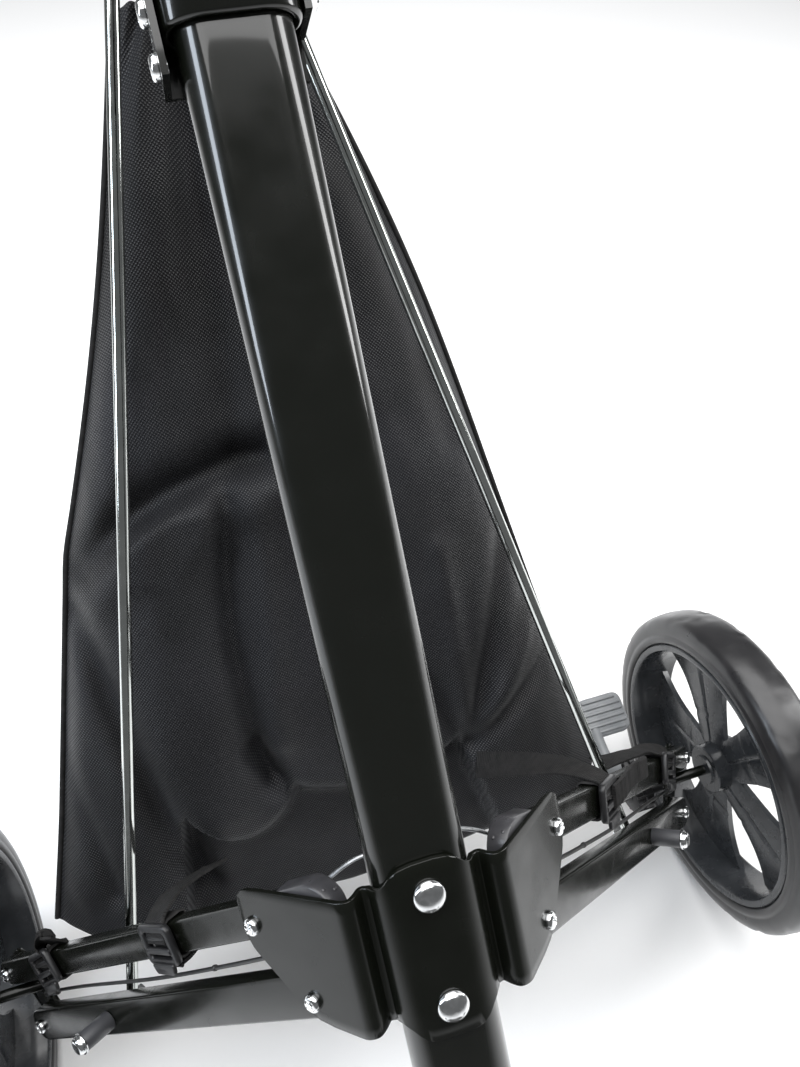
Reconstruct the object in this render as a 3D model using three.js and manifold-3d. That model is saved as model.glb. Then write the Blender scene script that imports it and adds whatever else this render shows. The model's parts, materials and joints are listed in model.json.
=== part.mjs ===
// Three-wheel golf push cart with a soft bag slung under its main tube.
// Millimetres, +X to the right as seen from the front (the brake pedal's side), +Y to the rear, +Z up.

import * as THREE from 'three';
import { mergeVertices } from 'three/addons/utils/BufferGeometryUtils.js';
import Module from 'manifold-3d';

const wasm = await Module();
wasm.setup();

// ---------------------------------------------------------------- driving dimensions
const DEG = Math.PI / 180;
const GAP = 0.4; // running gap between touching pieces

const TUBE = { lean: 42 * DEG, width: 50, depth: 28, wall: 2, bottom: -345, top: 572 };
const SHEET = 3; // bracket sheet thickness

// Points of the tube frame: x across, u up the tube, n out of the tube's front face.
const REAR_WHEEL = { radius: 146, rimRadius: 120, width: 44, innerFace: 305.7, u: -133.5, n: -276.6 };
const FRONT_WHEEL = { radius: 120, rimRadius: 95, width: 40, y: -381 };

// The legs lie in planes swept back from the tube; o runs outwards, v up the tube, m forwards.
const LEG = {
  sweep: 48 * DEG, droop: 21.5 * DEG, length: 346, thickness: 12,
  pivot: new THREE.Vector3(58.14, -28.6, -21.96), upperOffset: [32.4, 36],
  upperHeight: 20, lowerHeight: 25,
};
const BOLT = { shank: 3, head: 5, headHeight: 3.2, nut: 5.6, nutHeight: 4.5 };
const DOME = { shank: 4, head: 8.3, headHeight: 5, spacing: 60 };
const STRUT = { radius: 4, along: 232.1, behind: 13, top: new THREE.Vector3(28, 555, -112) };
const SPACER = { radius: 6.5, from: 6.4, to: 29 };
const COLLAR = { bottom: 420, top: 566, wall: 4.5 };
const HINGE = { u: 590, n: 25 };
const UPPER_TUBE = { top: 830, width: 44, depth: 24 };
const BAR_WALL = 1.8;
const STRAP = { width: 20, thickness: 1.6 };

// ---------------------------------------------------------------- materials
const material = (color, roughness, metalness) =>
  new THREE.MeshStandardMaterial({ color, roughness, metalness });
const BLACK_PAINT = material(0x0c0c0d, 0.18, 0.6);
const BLACK_CHROME = material(0x2a2b2e, 0.12, 1.0);
const CHROME = material(0xd8d9dc, 0.15, 1.0);
const STEEL = material(0x8c8f94, 0.35, 1.0);
const PLASTIC = material(0x17181a, 0.5, 0.0);
const GREY_PLASTIC = material(0x3a3c3f, 0.55, 0.0);
const TYRE_RUBBER = material(0x2b2c2e, 0.6, 0.0);
const FOAM = material(0x131314, 0.85, 0.0);
const NYLON = material(0x121316, 0.9, 0.0);
const WEBBING = material(0x0b0b0c, 0.85, 0.0);

// ---------------------------------------------------------------- geometry helpers
const vector = (x, y, z) => new THREE.Vector3(x, y, z);

function weld(geometry) {
  const bare = new THREE.BufferGeometry();
  bare.setAttribute('position', geometry.getAttribute('position').clone());
  if (geometry.index) {
    bare.setIndex(geometry.index.clone());
  }
  const welded = mergeVertices(bare, 1e-4);
  const kept = [];
  for (let i = 0; i < welded.index.count; i += 3) {
    const [a, b, c] = [0, 1, 2].map((k) => welded.index.getX(i + k));
    if (a !== b && b !== c && a !== c) {
      kept.push(a, b, c);
    }
  }
  welded.setIndex(kept);
  return welded;
}

function toSolid(geometry) {
  const welded = weld(geometry);
  return new wasm.Manifold(new wasm.Mesh({
    numProp: 3,
    vertProperties: new Float32Array(welded.getAttribute('position').array),
    triVerts: new Uint32Array(welded.index.array),
  }));
}

function toGeometry(solid) {
  const mesh = solid.getMesh();
  const geometry = new THREE.BufferGeometry();
  geometry.setAttribute('position', new THREE.BufferAttribute(mesh.vertProperties, 3));
  geometry.setIndex(new THREE.BufferAttribute(mesh.triVerts, 1));
  geometry.computeVertexNormals();
  return geometry;
}

const join = (...parts) => toGeometry(parts.map(toSolid).reduce((sum, part) => sum.add(part)));
const cut = (base, ...tools) =>
  toGeometry(tools.map(toSolid).reduce((rest, tool) => rest.subtract(tool), toSolid(base)));
const common = (a, b) => toGeometry(toSolid(a).intersect(toSolid(b)));

// A round bar between two points.
function roundBar(radius, from, to, segments = 12) {
  const axis = to.clone().sub(from);
  const length = axis.length();
  const geometry = new THREE.CylinderGeometry(radius, radius, length, segments);
  geometry.translate(0, length / 2, 0);
  geometry.applyQuaternion(new THREE.Quaternion().setFromUnitVectors(vector(0, 1, 0), axis.normalize()));
  return geometry.translate(from.x, from.y, from.z);
}

// A body of revolution: profile points are [distance along the axis, radius].
function turned(profile, from, direction, segments = 20) {
  const points = profile.map(([a, r]) => new THREE.Vector2(r, a));
  if (THREE.ShapeUtils.area(points) < 0) {
    points.reverse();
  }
  const geometry = new THREE.LatheGeometry(points, segments);
  geometry.applyQuaternion(new THREE.Quaternion().setFromUnitVectors(vector(0, 1, 0), direction));
  return geometry.translate(from.x, from.y, from.z);
}

// A flat outline with its corners rounded, in any plane.
function roundedOutline(corners, radius) {
  const shape = new THREE.Shape();
  const points = corners.map(([x, y]) => new THREE.Vector2(x, y));
  points.forEach((corner, i) => {
    const before = points[(i + points.length - 1) % points.length];
    const after = points[(i + 1) % points.length];
    const reach = (other) => Math.min(radius, corner.distanceTo(other) * 0.45) / corner.distanceTo(other);
    const entry = corner.clone().lerp(before, reach(before));
    const exit = corner.clone().lerp(after, reach(after));
    if (i === 0) {
      shape.moveTo(entry.x, entry.y);
    } else {
      shape.lineTo(entry.x, entry.y);
    }
    shape.quadraticCurveTo(corner.x, corner.y, exit.x, exit.y);
  });
  shape.closePath();
  return shape;
}

const sharpOutline = (corners) => new THREE.Shape(corners.map(([x, y]) => new THREE.Vector2(x, y)));
const rectangle = (x0, x1, y0, y1) => [[x0, y0], [x1, y0], [x1, y1], [x0, y1]];

// A slab of constant thickness between z0 and z1.
function slab(shape, z0, z1, curveSegments = 5) {
  const geometry = new THREE.ExtrudeGeometry(shape, { depth: z1 - z0, bevelEnabled: false, curveSegments });
  return geometry.translate(0, 0, z0);
}

// A section drawn as [x, n] and run along the tube from u0 to u1.
function alongTube(points, u0, u1) {
  return slab(sharpOutline(points.map(([x, n]) => [x, -n])), u0, u1).rotateX(-Math.PI / 2);
}

// A section drawn as [y, z] and run across the cart from x0 to x1.
function acrossCart(shape, x0, x1, curveSegments = 5) {
  const basis = new THREE.Matrix4().makeBasis(vector(0, 1, 0), vector(0, 0, 1), vector(1, 0, 0));
  return slab(shape, x0, x1, curveSegments).applyMatrix4(basis);
}

function flatOval(width, depth, u0, u1) {
  const flat = (width - depth) / 2;
  const shape = new THREE.Shape();
  shape.absarc(flat, 0, depth / 2, -Math.PI / 2, Math.PI / 2);
  shape.absarc(-flat, 0, depth / 2, Math.PI / 2, Math.PI * 1.5);
  return slab(shape, u0, u1, 8).rotateX(-Math.PI / 2);
}

// A bent sheet: its middle line thickened to both sides.
function bentSheet(line, thickness) {
  const points = line.map(([x, y]) => new THREE.Vector2(x, y));
  const sides = [1, -1].map((side) => points.map((point, i) => {
    const before = points[Math.max(i - 1, 0)];
    const after = points[Math.min(i + 1, points.length - 1)];
    const normalIn = point.clone().sub(before).rotateAround(new THREE.Vector2(), Math.PI / 2).normalize();
    const normalOut = after.clone().sub(point).rotateAround(new THREE.Vector2(), Math.PI / 2).normalize();
    const normal = i === 0 ? normalOut : i === points.length - 1 ? normalIn : normalIn.clone().add(normalOut);
    normal.normalize();
    const spread = i === 0 ? 1 : Math.max(normal.dot(normalIn.lengthSq() > 0 ? normalIn : normalOut), 0.5);
    return point.clone().addScaledVector(normal, (side * thickness) / 2 / spread);
  }));
  return new THREE.Shape([...sides[0], ...sides[1].reverse()]);
}

// A round cord or bar along a smooth curve.
function swept(points, radius, steps, sides = 10) {
  const circle = new THREE.Shape();
  circle.absarc(0, 0, radius, 0, Math.PI * 2);
  const extrudePath = new THREE.CatmullRomCurve3(points);
  const settings = { extrudePath, steps, bevelEnabled: false, curveSegments: sides / 2 };
  return new THREE.ExtrudeGeometry(circle, settings);
}

function mirrored(geometry) {
  const copy = weld(geometry);
  copy.scale(-1, 1, 1);
  const index = Array.from(copy.index.array);
  for (let i = 0; i < index.length; i += 3) {
    [index[i], index[i + 1]] = [index[i + 1], index[i]];
  }
  copy.setIndex(index);
  copy.computeVertexNormals();
  return copy;
}

// ---------------------------------------------------------------- groups
const cart = new THREE.Group();
const wheelHeight = REAR_WHEEL.u * Math.cos(TUBE.lean) + REAR_WHEEL.n * Math.sin(TUBE.lean);
const bracketHeight = REAR_WHEEL.radius - wheelHeight;

const tubeFrame = new THREE.Group();
tubeFrame.rotation.x = Math.PI / 2 - TUBE.lean;
tubeFrame.position.z = bracketHeight;
cart.add(tubeFrame);

function legGroup(side) {
  const group = new THREE.Group();
  group.position.copy(LEG.pivot);
  group.position.x *= side;
  group.rotation.y = side * LEG.sweep;
  tubeFrame.add(group);
  return group;
}
const legs = { right: legGroup(1), left: legGroup(-1) };

function addPiece(parent, name, geometry, look) {
  const mesh = new THREE.Mesh(geometry, look);
  mesh.name = name;
  parent.add(mesh);
  return mesh;
}

function addPair(name, geometry, look, parents = { right: tubeFrame, left: tubeFrame }) {
  addPiece(parents.right, `right_${name}`, geometry, look);
  addPiece(parents.left, `left_${name}`, mirrored(geometry), look);
}

// ---------------------------------------------------------------- main tube and centre bracket
const upperPivot = vector(LEG.upperOffset[0], LEG.upperOffset[1], 0);
const linkVector = vector(Math.cos(LEG.droop), -Math.sin(LEG.droop), 0);
const lowerHubPivot = linkVector.clone().multiplyScalar(LEG.length);
const upperHubPivot = lowerHubPivot.clone().add(upperPivot);

const legToTube = new THREE.Matrix4().compose(
  LEG.pivot, new THREE.Quaternion().setFromAxisAngle(vector(0, 1, 0), LEG.sweep), vector(1, 1, 1));
const tubeToLeg = legToTube.clone().invert();

function boltHole(radius, x, u) {
  return roundBar(radius, vector(x, u, -40), vector(x, u, 40));
}

function mainTube() {
  const inner = { width: TUBE.width - 2 * TUBE.wall, depth: TUBE.depth - 2 * TUBE.wall };
  return cut(
    flatOval(TUBE.width, TUBE.depth, TUBE.bottom, TUBE.top),
    flatOval(inner.width, inner.depth, TUBE.bottom - 1, TUBE.top + 1),
    boltHole(DOME.shank + GAP, 0, DOME.spacing / 2),
    boltHole(DOME.shank + GAP, 0, -DOME.spacing / 2),
    roundBar(BOLT.shank + GAP, vector(-40, TUBE.bottom + 18, 0), vector(40, TUBE.bottom + 18, 0)),
  );
}

// Half of the bracket's section, as the middle line of the sheet.
const hump = TUBE.depth / 2 + GAP + SHEET / 2;
const humpCentre = (TUBE.width - TUBE.depth) / 2;
const humpArc = [75, 60, 45, 30, 18].map((angle) =>
  [humpCentre + hump * Math.cos(angle * DEG), hump * Math.sin(angle * DEG)]);
const wingOffset = LEG.thickness / 2 + 0.5 + SHEET / 2;
const onWing = (o) => vector(o, 0, wingOffset).applyMatrix4(legToTube);
const wingRidge = onWing(-36);
const wingRoot = onWing(-33);
const wingTip = onWing(52);
const bracketHalf = [[humpCentre, hump], ...humpArc, [30.5, 2.4], [34, 7],
  [wingRidge.x - 2.5, wingRidge.z - 0.4], [wingRoot.x, wingRoot.z], [wingTip.x, wingTip.z]];

function bracketOutline() {
  const half = [[8, 47.5], [17, 44], [23, 36.5], [34, 35.5], [44, 35], [84, 29], [92, 23], [90, -5],
    [66, -39], [46, -41], [24, -36.5], [17, -44], [8, -47.5]];
  const other = half.map(([x, u]) => [-x, u]).reverse();
  return roundedOutline([...half, ...other], 5);
}

function centreBracket() {
  const line = [...bracketHalf.map(([x, n]) => [-x, n]).reverse(), ...bracketHalf];
  const sheet = slab(bentSheet(line.map(([x, n]) => [x, -n]), SHEET), -60, 60).rotateX(-Math.PI / 2);
  const holes = [[0, 0], LEG.upperOffset].flatMap(([o, v]) => [1, -1].map((side) => {
    const from = vector(o, v, -5).applyMatrix4(legToTube);
    const to = vector(o, v, 30).applyMatrix4(legToTube);
    from.x *= side;
    to.x *= side;
    return roundBar(BOLT.shank + GAP, from, to);
  }));
  return cut(
    common(sheet, slab(bracketOutline(), -90, 60, 4)),
    boltHole(DOME.shank + GAP, 0, DOME.spacing / 2),
    boltHole(DOME.shank + GAP, 0, -DOME.spacing / 2),
    ...holes,
  );
}

function domeBolt(u) {
  const seat = hump + SHEET / 2 + GAP;
  const back = TUBE.depth / 2 + GAP;
  const { head, headHeight, shank } = DOME;
  const profile = [[-seat - back - 9, 0], [-seat - back - 9, shank], [-seat - back - 7, shank],
    [-seat - back - 7, 7], [-seat - back, 7], [-seat - back, shank], [0, shank], [0, head],
    [1.2, head], [headHeight * 0.62, head * 0.82], [headHeight * 0.9, head * 0.5], [headHeight, 0]];
  return turned(profile, vector(0, u, seat), vector(0, 0, 1), 20);
}

addPiece(tubeFrame, 'main_tube', mainTube(), BLACK_PAINT);
addPiece(tubeFrame, 'center_bracket', centreBracket(), BLACK_PAINT);
addPiece(tubeFrame, 'bracket_bolt_upper', domeBolt(DOME.spacing / 2), CHROME);
addPiece(tubeFrame, 'bracket_bolt_lower', domeBolt(-DOME.spacing / 2), CHROME);
addPiece(tubeFrame, 'tube_end_plug',
  flatOval(TUBE.width, TUBE.depth, TUBE.bottom - 8, TUBE.bottom - GAP), PLASTIC);

// ---------------------------------------------------------------- legs
// A pan-head bolt along m: the head's underside sits at m = seat, the nut's face at m = back.
function panBolt(centre, seat, back) {
  const { shank, head, headHeight, nut, nutHeight } = BOLT;
  const profile = [[back - nutHeight - 1.5, 0], [back - nutHeight - 1.5, shank], [back - nutHeight, shank],
    [back - nutHeight, nut], [back, nut], [back, shank], [seat, shank], [seat, head],
    [seat + headHeight * 0.45, head], [seat + headHeight * 0.85, head * 0.72], [seat + headHeight, 0]];
  return turned(profile, vector(centre.x, centre.y, 0), vector(0, 0, 1), 12);
}

// A leg bar along the link direction: open at its inner end, rounded about its hub pivot at the other.
function legBar(pivot, height, inner, holesAt) {
  const half = height / 2;
  const outline = new THREE.Shape();
  outline.moveTo(inner, half);
  outline.lineTo(inner, -half);
  outline.lineTo(LEG.length, -half);
  outline.absarc(LEG.length, 0, half, -Math.PI / 2, Math.PI / 2);
  const turn = (geometry) => geometry.rotateZ(-LEG.droop).translate(pivot.x, pivot.y, 0);
  const side = LEG.thickness / 2;
  const outside = slab(outline, -side, side, 7);
  const bore = rectangle(inner - 5, LEG.length - half, -half + BAR_WALL, half - BAR_WALL);
  const inside = slab(sharpOutline(bore),
    -side + BAR_WALL, side - BAR_WALL);
  const hole = (along) => roundBar(BOLT.shank + GAP, vector(along, 0, -20), vector(along, 0, 20));
  const holes = holesAt.map(hole);
  return turn(cut(outside, inside, ...holes));
}

function upperBarCap() {
  const half = LEG.upperHeight / 2 + 1;
  const side = LEG.thickness / 2;
  const shape = new THREE.Shape();
  shape.moveTo(-20 - GAP, -half);
  shape.lineTo(-20 - GAP, half);
  shape.lineTo(-46, half);
  shape.absarc(-46, half - 12, 12, Math.PI / 2, Math.PI * 0.97, false);
  shape.lineTo(-56, -half + 4);
  shape.quadraticCurveTo(-55, -half, -50, -half);
  return slab(shape, -side, side, 8).rotateZ(-LEG.droop).translate(upperPivot.x, upperPivot.y, 0);
}

function strutBolt() {
  const at = linkVector.clone().multiplyScalar(STRUT.along);
  const { shank, nut } = BOLT;
  const back = -STRUT.behind - STRUT.radius - 1;
  const profile = [[back - 6, 0], [back - 6, shank], [back - 4.5, shank], [back - 4.5, nut], [back, nut],
    [back, shank], [SPACER.from, shank], [SPACER.from, SPACER.radius], [SPACER.to, SPACER.radius],
    [SPACER.to, 6.2], [SPACER.to + 3, 6.2], [SPACER.to + 4.2, 4.5], [SPACER.to + 4.6, 0]];
  return turned(profile, vector(at.x, at.y, 0), vector(0, 0, 1), 14);
}

// The strut: an eye on its bolt, a straight rod, and a hooked end through the strut bracket.
const strutTop = STRUT.top.clone().applyMatrix4(tubeToLeg);
const strutFoot = linkVector.clone().multiplyScalar(STRUT.along).setZ(-STRUT.behind);
const HOOK = { plate: 3, gap: 1.0, washer: 8, reach: 3 };
const hookPlateFront = strutTop.z - STRUT.radius - HOOK.gap;

function strut() {
  const rod = roundBar(STRUT.radius, strutFoot, strutTop, 16);
  const eyeBack = strutFoot.clone().setZ(-STRUT.behind - 4);
  const eyeFront = strutFoot.clone().setZ(-STRUT.behind + 5);
  const eye = roundBar(8, eyeBack, eyeFront);
  const hole = roundBar(BOLT.shank + GAP, strutFoot.clone().setZ(-60), strutFoot.clone().setZ(20));
  const hookEnd = strutTop.clone().setZ(hookPlateFront - HOOK.plate - HOOK.reach);
  const hook = roundBar(STRUT.radius, hookEnd, strutTop, 16);
  const washer = roundBar(HOOK.washer, hookEnd, hookEnd.clone().setZ(hookEnd.z + 2));
  const knuckle = new THREE.SphereGeometry(STRUT.radius * 1.06, 16, 10)
    .translate(strutTop.x, strutTop.y, strutTop.z);
  return cut(join(rod, eye, hook, washer, knuckle), hole);
}

addPair('upper_bar', legBar(upperPivot, LEG.upperHeight, -20, [0, LEG.length]), BLACK_PAINT, legs);
addPair('upper_bar_cap', upperBarCap(), PLASTIC, legs);
addPair('lower_bar', legBar(vector(0, 0, 0), LEG.lowerHeight, -15,
  [0, STRUT.along, LEG.length]), BLACK_PAINT, legs);
const wingFace = LEG.thickness / 2 + 0.5 + SHEET + GAP;
const barBack = -LEG.thickness / 2 - GAP;
addPair('upper_pivot_bolt', panBolt(upperPivot, wingFace, barBack), CHROME, legs);
addPair('lower_pivot_bolt', panBolt(vector(0, 0, 0), wingFace, barBack), CHROME, legs);
addPair('strut', strut(), BLACK_CHROME, legs);
addPair('strut_bolt', strutBolt(), STEEL, legs);

// ---------------------------------------------------------------- hub brackets
const HUB_PLATE = { thickness: 4, edge: 12 };
const hubPlateFront = barBack - 0.1;
const axlePoint = (x) => vector(x, REAR_WHEEL.u, REAR_WHEEL.n);
const axleOnPlate = axlePoint(275).applyMatrix4(tubeToLeg);
const STUB = { radius: 4.5, end: REAR_WHEEL.innerFace + REAR_WHEEL.width + 6 };

function hubBracket() {
  const points = [lowerHubPivot, upperHubPivot, vector(axleOnPlate.x + 4, axleOnPlate.y - 10, 0)];
  const discs = points.map((p) => roundBar(HUB_PLATE.edge,
    vector(p.x, p.y, hubPlateFront - HUB_PLATE.thickness), vector(p.x, p.y, hubPlateFront), 20));
  const middle = slab(new THREE.Shape(points.map((p) => new THREE.Vector2(p.x, p.y))),
    hubPlateFront - HUB_PLATE.thickness, hubPlateFront);
  const holes = [lowerHubPivot, upperHubPivot].map((p) =>
    roundBar(BOLT.shank + GAP, vector(p.x, p.y, -40), vector(p.x, p.y, 20)));
  const stub = roundBar(STUB.radius, axlePoint(270), axlePoint(STUB.end), 20).applyMatrix4(tubeToLeg);
  const edges = [[0, 1], [1, 2], [2, 0]].map(([a, b]) => {
    const along = points[b].clone().sub(points[a]);
    const width = HUB_PLATE.edge;
    const shape = sharpOutline(rectangle(0, along.length(), -width + 0.05, width - 0.05));
    return slab(shape, hubPlateFront - HUB_PLATE.thickness, hubPlateFront)
      .rotateZ(Math.atan2(along.y, along.x)).translate(points[a].x, points[a].y, 0);
  });
  return cut(join(middle, ...edges, ...discs, stub), ...holes);
}

const hubBoltSeat = LEG.thickness / 2 + GAP;
const hubBoltBack = hubPlateFront - HUB_PLATE.thickness - GAP;
addPair('hub_bracket', hubBracket(), BLACK_PAINT, legs);
addPair('hub_bolt_upper', panBolt(upperHubPivot, hubBoltSeat, hubBoltBack), CHROME, legs);
addPair('hub_bolt_lower', panBolt(lowerHubPivot, hubBoltSeat, hubBoltBack), CHROME, legs);

// ---------------------------------------------------------------- wheels
// Profiles are [distance from the inner face, radius].
const WHEEL_SEGMENTS = 48;

function tyre(radius, rimRadius, width) {
  const seat = rimRadius + GAP;
  const shoulder = radius - 7;
  const profile = [[3, seat], [0, seat + 8], [1.5, shoulder], [7, radius - 2], [width / 2, radius],
    [width - 7, radius - 2], [width - 1.5, shoulder], [width, seat + 8], [width - 3, seat], [3, seat]];
  return turned(profile, vector(0, 0, 0), vector(1, 0, 0), WHEEL_SEGMENTS);
}

const SPOKES = { count: 5, hubRadius: 24, hubWidth: 13, rimWidth: 30, thickness: 10, phase: 57 * DEG };

function rim(rimRadius, width, hubFrom, hubTo, spokeFrom) {
  const inner = rimRadius - 7;
  const barrel = turned([[2, rimRadius], [0.6, inner + 2], [3, inner], [width - 3, inner - 3],
    [width - 1, rimRadius], [2, rimRadius]], vector(0, 0, 0), vector(1, 0, 0), WHEEL_SEGMENTS);
  const hub = roundBar(SPOKES.hubRadius, vector(hubFrom, 0, 0), vector(hubTo, 0, 0), 20);
  const reach = inner + 1;
  const spokes = Array.from({ length: SPOKES.count }, (_, i) => {
    const shape = roundedOutline([[10, -SPOKES.hubWidth], [reach, -SPOKES.rimWidth],
      [reach, SPOKES.rimWidth], [10, SPOKES.hubWidth]], 2);
    const blade = acrossCart(shape, spokeFrom, spokeFrom + SPOKES.thickness);
    return blade.rotateX(SPOKES.phase + (i * Math.PI * 2) / SPOKES.count);
  });
  const bore = roundBar(STUB.radius + GAP, vector(-30, 0, 0), vector(width + 30, 0, 0));
  const rimOutside = roundBar(rimRadius - 1, vector(-20, 0, 0), vector(width + 20, 0, 0), WHEEL_SEGMENTS);
  return cut(join(barrel, common(join(hub, ...spokes), rimOutside)), bore);
}

const wheelPlace = (geometry) => geometry.translate(REAR_WHEEL.innerFace, REAR_WHEEL.u, REAR_WHEEL.n);
const rearRim = rim(REAR_WHEEL.rimRadius, REAR_WHEEL.width, 9, REAR_WHEEL.width - 2, 30);
addPair('rim', wheelPlace(rearRim), GREY_PLASTIC);
addPair('tire', wheelPlace(tyre(REAR_WHEEL.radius, REAR_WHEEL.rimRadius, REAR_WHEEL.width)), TYRE_RUBBER);
addPair('hub_cap', turned([[0, 0], [0, 12], [7, 11], [10, 7], [11, 0]],
  axlePoint(STUB.end + GAP), vector(1, 0, 0), 28), PLASTIC);

// ---------------------------------------------------------------- brake
const axleYZ = vector(0, REAR_WHEEL.u, REAR_WHEEL.n);
const rearwards = vector(0, Math.sin(TUBE.lean), -Math.cos(TUBE.lean));
const upwards = vector(0, Math.cos(TUBE.lean), Math.sin(TUBE.lean));
const BRAKE = { inner: 236, outer: 254, radius: 17, pinBack: 27, pedalBack: 78, padWidth: 46, padLength: 38 };
const atAxle = (x, back, up) =>
  axleYZ.clone().addScaledVector(rearwards, back).addScaledVector(upwards, up).setX(x);

function brakeHousing() {
  const drum = roundBar(BRAKE.radius, atAxle(BRAKE.inner, 0, 0), atAxle(BRAKE.outer, 0, 0), 28);
  const link = roundBar(6, atAxle(BRAKE.outer - 2, -1, -2), axlePoint(268), 16);
  const ear = roundBar(7, atAxle(BRAKE.outer - 6, 0, 0), atAxle(BRAKE.outer - 6, BRAKE.pinBack, 0), 16);
  const atPin = (x) => atAxle(x, BRAKE.pinBack, 0);
  const lug = roundBar(8, atPin(BRAKE.inner + 12), atPin(BRAKE.outer), 20);
  const pin = roundBar(3, atPin(BRAKE.inner - 14), atPin(BRAKE.outer), 16);
  const plateClear = toSolid(hubBracket().applyMatrix4(legToTube));
  return toGeometry(toSolid(join(drum, ear, lug, pin, link)).subtract(plateClear));
}

function brakePedal() {
  const middle = BRAKE.inner - 3;
  const hub = roundBar(8, atAxle(middle - 7, BRAKE.pinBack, 0), atAxle(middle + 7, BRAKE.pinBack, 0), 20);
  const arm = roundBar(5.5, atAxle(middle, BRAKE.pinBack, 0), atAxle(middle, BRAKE.pedalBack - 14, -4), 14);
  const pad = new THREE.BoxGeometry(BRAKE.padWidth, BRAKE.padLength, 9);
  const ribs = Array.from({ length: 6 }, (_, i) =>
    new THREE.BoxGeometry(BRAKE.padWidth - 5, 2.6, 2.5).translate(0, (i - 2.5) * 5.6, 5.2));
  const basis = new THREE.Matrix4().makeBasis(vector(1, 0, 0), rearwards, upwards);
  const tilt = new THREE.Matrix4().makeRotationX(14 * DEG);
  const padSolid = join(pad, ...ribs).applyMatrix4(tilt).applyMatrix4(basis);
  const centre = atAxle(middle + 16, BRAKE.pedalBack, -2);
  padSolid.translate(centre.x, centre.y, centre.z);
  const boreFrom = atAxle(middle - 30, BRAKE.pinBack, 0);
  const boreTo = atAxle(middle + 30, BRAKE.pinBack, 0);
  const bore = roundBar(3 + GAP, boreFrom, boreTo, 16);
  return cut(join(hub, arm, padSolid), bore);
}

const cableAt = (along) => upperPivot.clone().multiplyScalar(0.5).addScaledVector(linkVector, along);
const CABLE_RADIUS = 1.25;

function cableLink() {
  const points = [cableAt(2), cableAt(60).setY(cableAt(60).y - 2), cableAt(150).setY(cableAt(150).y - 3),
    cableAt(250), cableAt(318)];
  return swept(points, CABLE_RADIUS, 28, 8);
}

function cableCrossing() {
  const start = cableAt(0).applyMatrix4(legToTube);
  const half = [[start.x - 0.5, start.y, start.z - 0.3],
    [62, -6, -40], [50, 12, -44], [30, 24, -42], [14, 27, -40]];
  const points = [...half.map(([x, u, n]) => vector(-x, u, n)), ...half.reverse().map((p) => vector(...p))];
  return swept(points, CABLE_RADIUS, 44, 8);
}

addPiece(tubeFrame, 'right_brake_housing', brakeHousing(), PLASTIC);
addPiece(tubeFrame, 'brake_pedal', brakePedal(), GREY_PLASTIC);
addPair('brake_cable', cableLink(), STEEL, legs);
addPiece(tubeFrame, 'brake_cable_crossing', cableCrossing(), STEEL);

// ---------------------------------------------------------------- fork and front wheel
const frontWheelRise = FRONT_WHEEL.radius - bracketHeight;
const frontAxle = vector(0,
  FRONT_WHEEL.y * Math.sin(TUBE.lean) + frontWheelRise * Math.cos(TUBE.lean),
  -FRONT_WHEEL.y * Math.cos(TUBE.lean) + frontWheelRise * Math.sin(TUBE.lean));
const FORK = { inner: TUBE.width / 2 + GAP, thickness: 5, width: 15 };

function forkArm() {
  const stations = [[TUBE.bottom + 74, 0], [TUBE.bottom + 8, 0], [frontAxle.y, frontAxle.z]];
  const half = FORK.width;
  const pieces = stations.slice(1).map((end, i) => {
    const [u0, n0] = stations[i];
    const [u1, n1] = end;
    const length = Math.hypot(u1 - u0, n1 - n0);
    return acrossCart(sharpOutline(rectangle(0, length, -half + 2, half - 2)), 0, FORK.thickness)
      .rotateX(Math.atan2(n1 - n0, u1 - u0)).translate(FORK.inner, u0, n0);
  });
  const ends = stations.map(([u, n], i) => roundBar(i === 2 ? half : half - 2,
    vector(FORK.inner, u, n), vector(FORK.inner + FORK.thickness, u, n), 20));
  const holes = [[TUBE.bottom + 18, 0], [frontAxle.y, frontAxle.z]].map(([u, n]) =>
    roundBar(STUB.radius + GAP, vector(0, u, n), vector(60, u, n)));
  return cut(join(...pieces, ...ends), ...holes);
}

function crossBolt(radius, at, head) {
  const half = FORK.inner + FORK.thickness + GAP;
  const profile = [[-half - head, 0], [-half - head, radius * 1.3],
    [-half - 1, radius * 1.8], [-half, radius * 1.8], [-half, radius], [half, radius],
    [half, radius * 1.8], [half + 1, radius * 1.8], [half + head, radius * 1.3],
    [half + head, 0]];
  return turned(profile, at, vector(1, 0, 0), 14);
}

const frontWheelPlace = (geometry) => geometry.translate(-FRONT_WHEEL.width / 2, frontAxle.y, frontAxle.z);
addPair('fork_arm', forkArm(), BLACK_PAINT);
addPiece(tubeFrame, 'front_axle', crossBolt(STUB.radius, frontAxle, 5), CHROME);
addPiece(tubeFrame, 'front_rim', frontWheelPlace(
  rim(FRONT_WHEEL.rimRadius, FRONT_WHEEL.width, -2, FRONT_WHEEL.width + 2, 15)), GREY_PLASTIC);
addPiece(tubeFrame, 'front_tire', frontWheelPlace(
  tyre(FRONT_WHEEL.radius, FRONT_WHEEL.rimRadius, FRONT_WHEEL.width)), TYRE_RUBBER);

// ---------------------------------------------------------------- sliding collar and strut bracket
function collar() {
  const grow = 2 * GAP;
  const growth = 2 * COLLAR.wall;
  const outer = flatOval(TUBE.width + growth, TUBE.depth + growth, COLLAR.bottom, COLLAR.top);
  const inner = flatOval(TUBE.width + grow, TUBE.depth + grow, COLLAR.bottom - 5, COLLAR.top + 5);
  return cut(outer, inner);
}

const CHEEK = { inner: TUBE.width / 2 + COLLAR.wall + GAP, bottom: 404, top: 560 };
const slot = { length: 24, width: 2 * STRUT.radius + 3 };

const SLOT_ANGLE = -40 * DEG;
const CLAMP_BOLTS = [434, 413];

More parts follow.
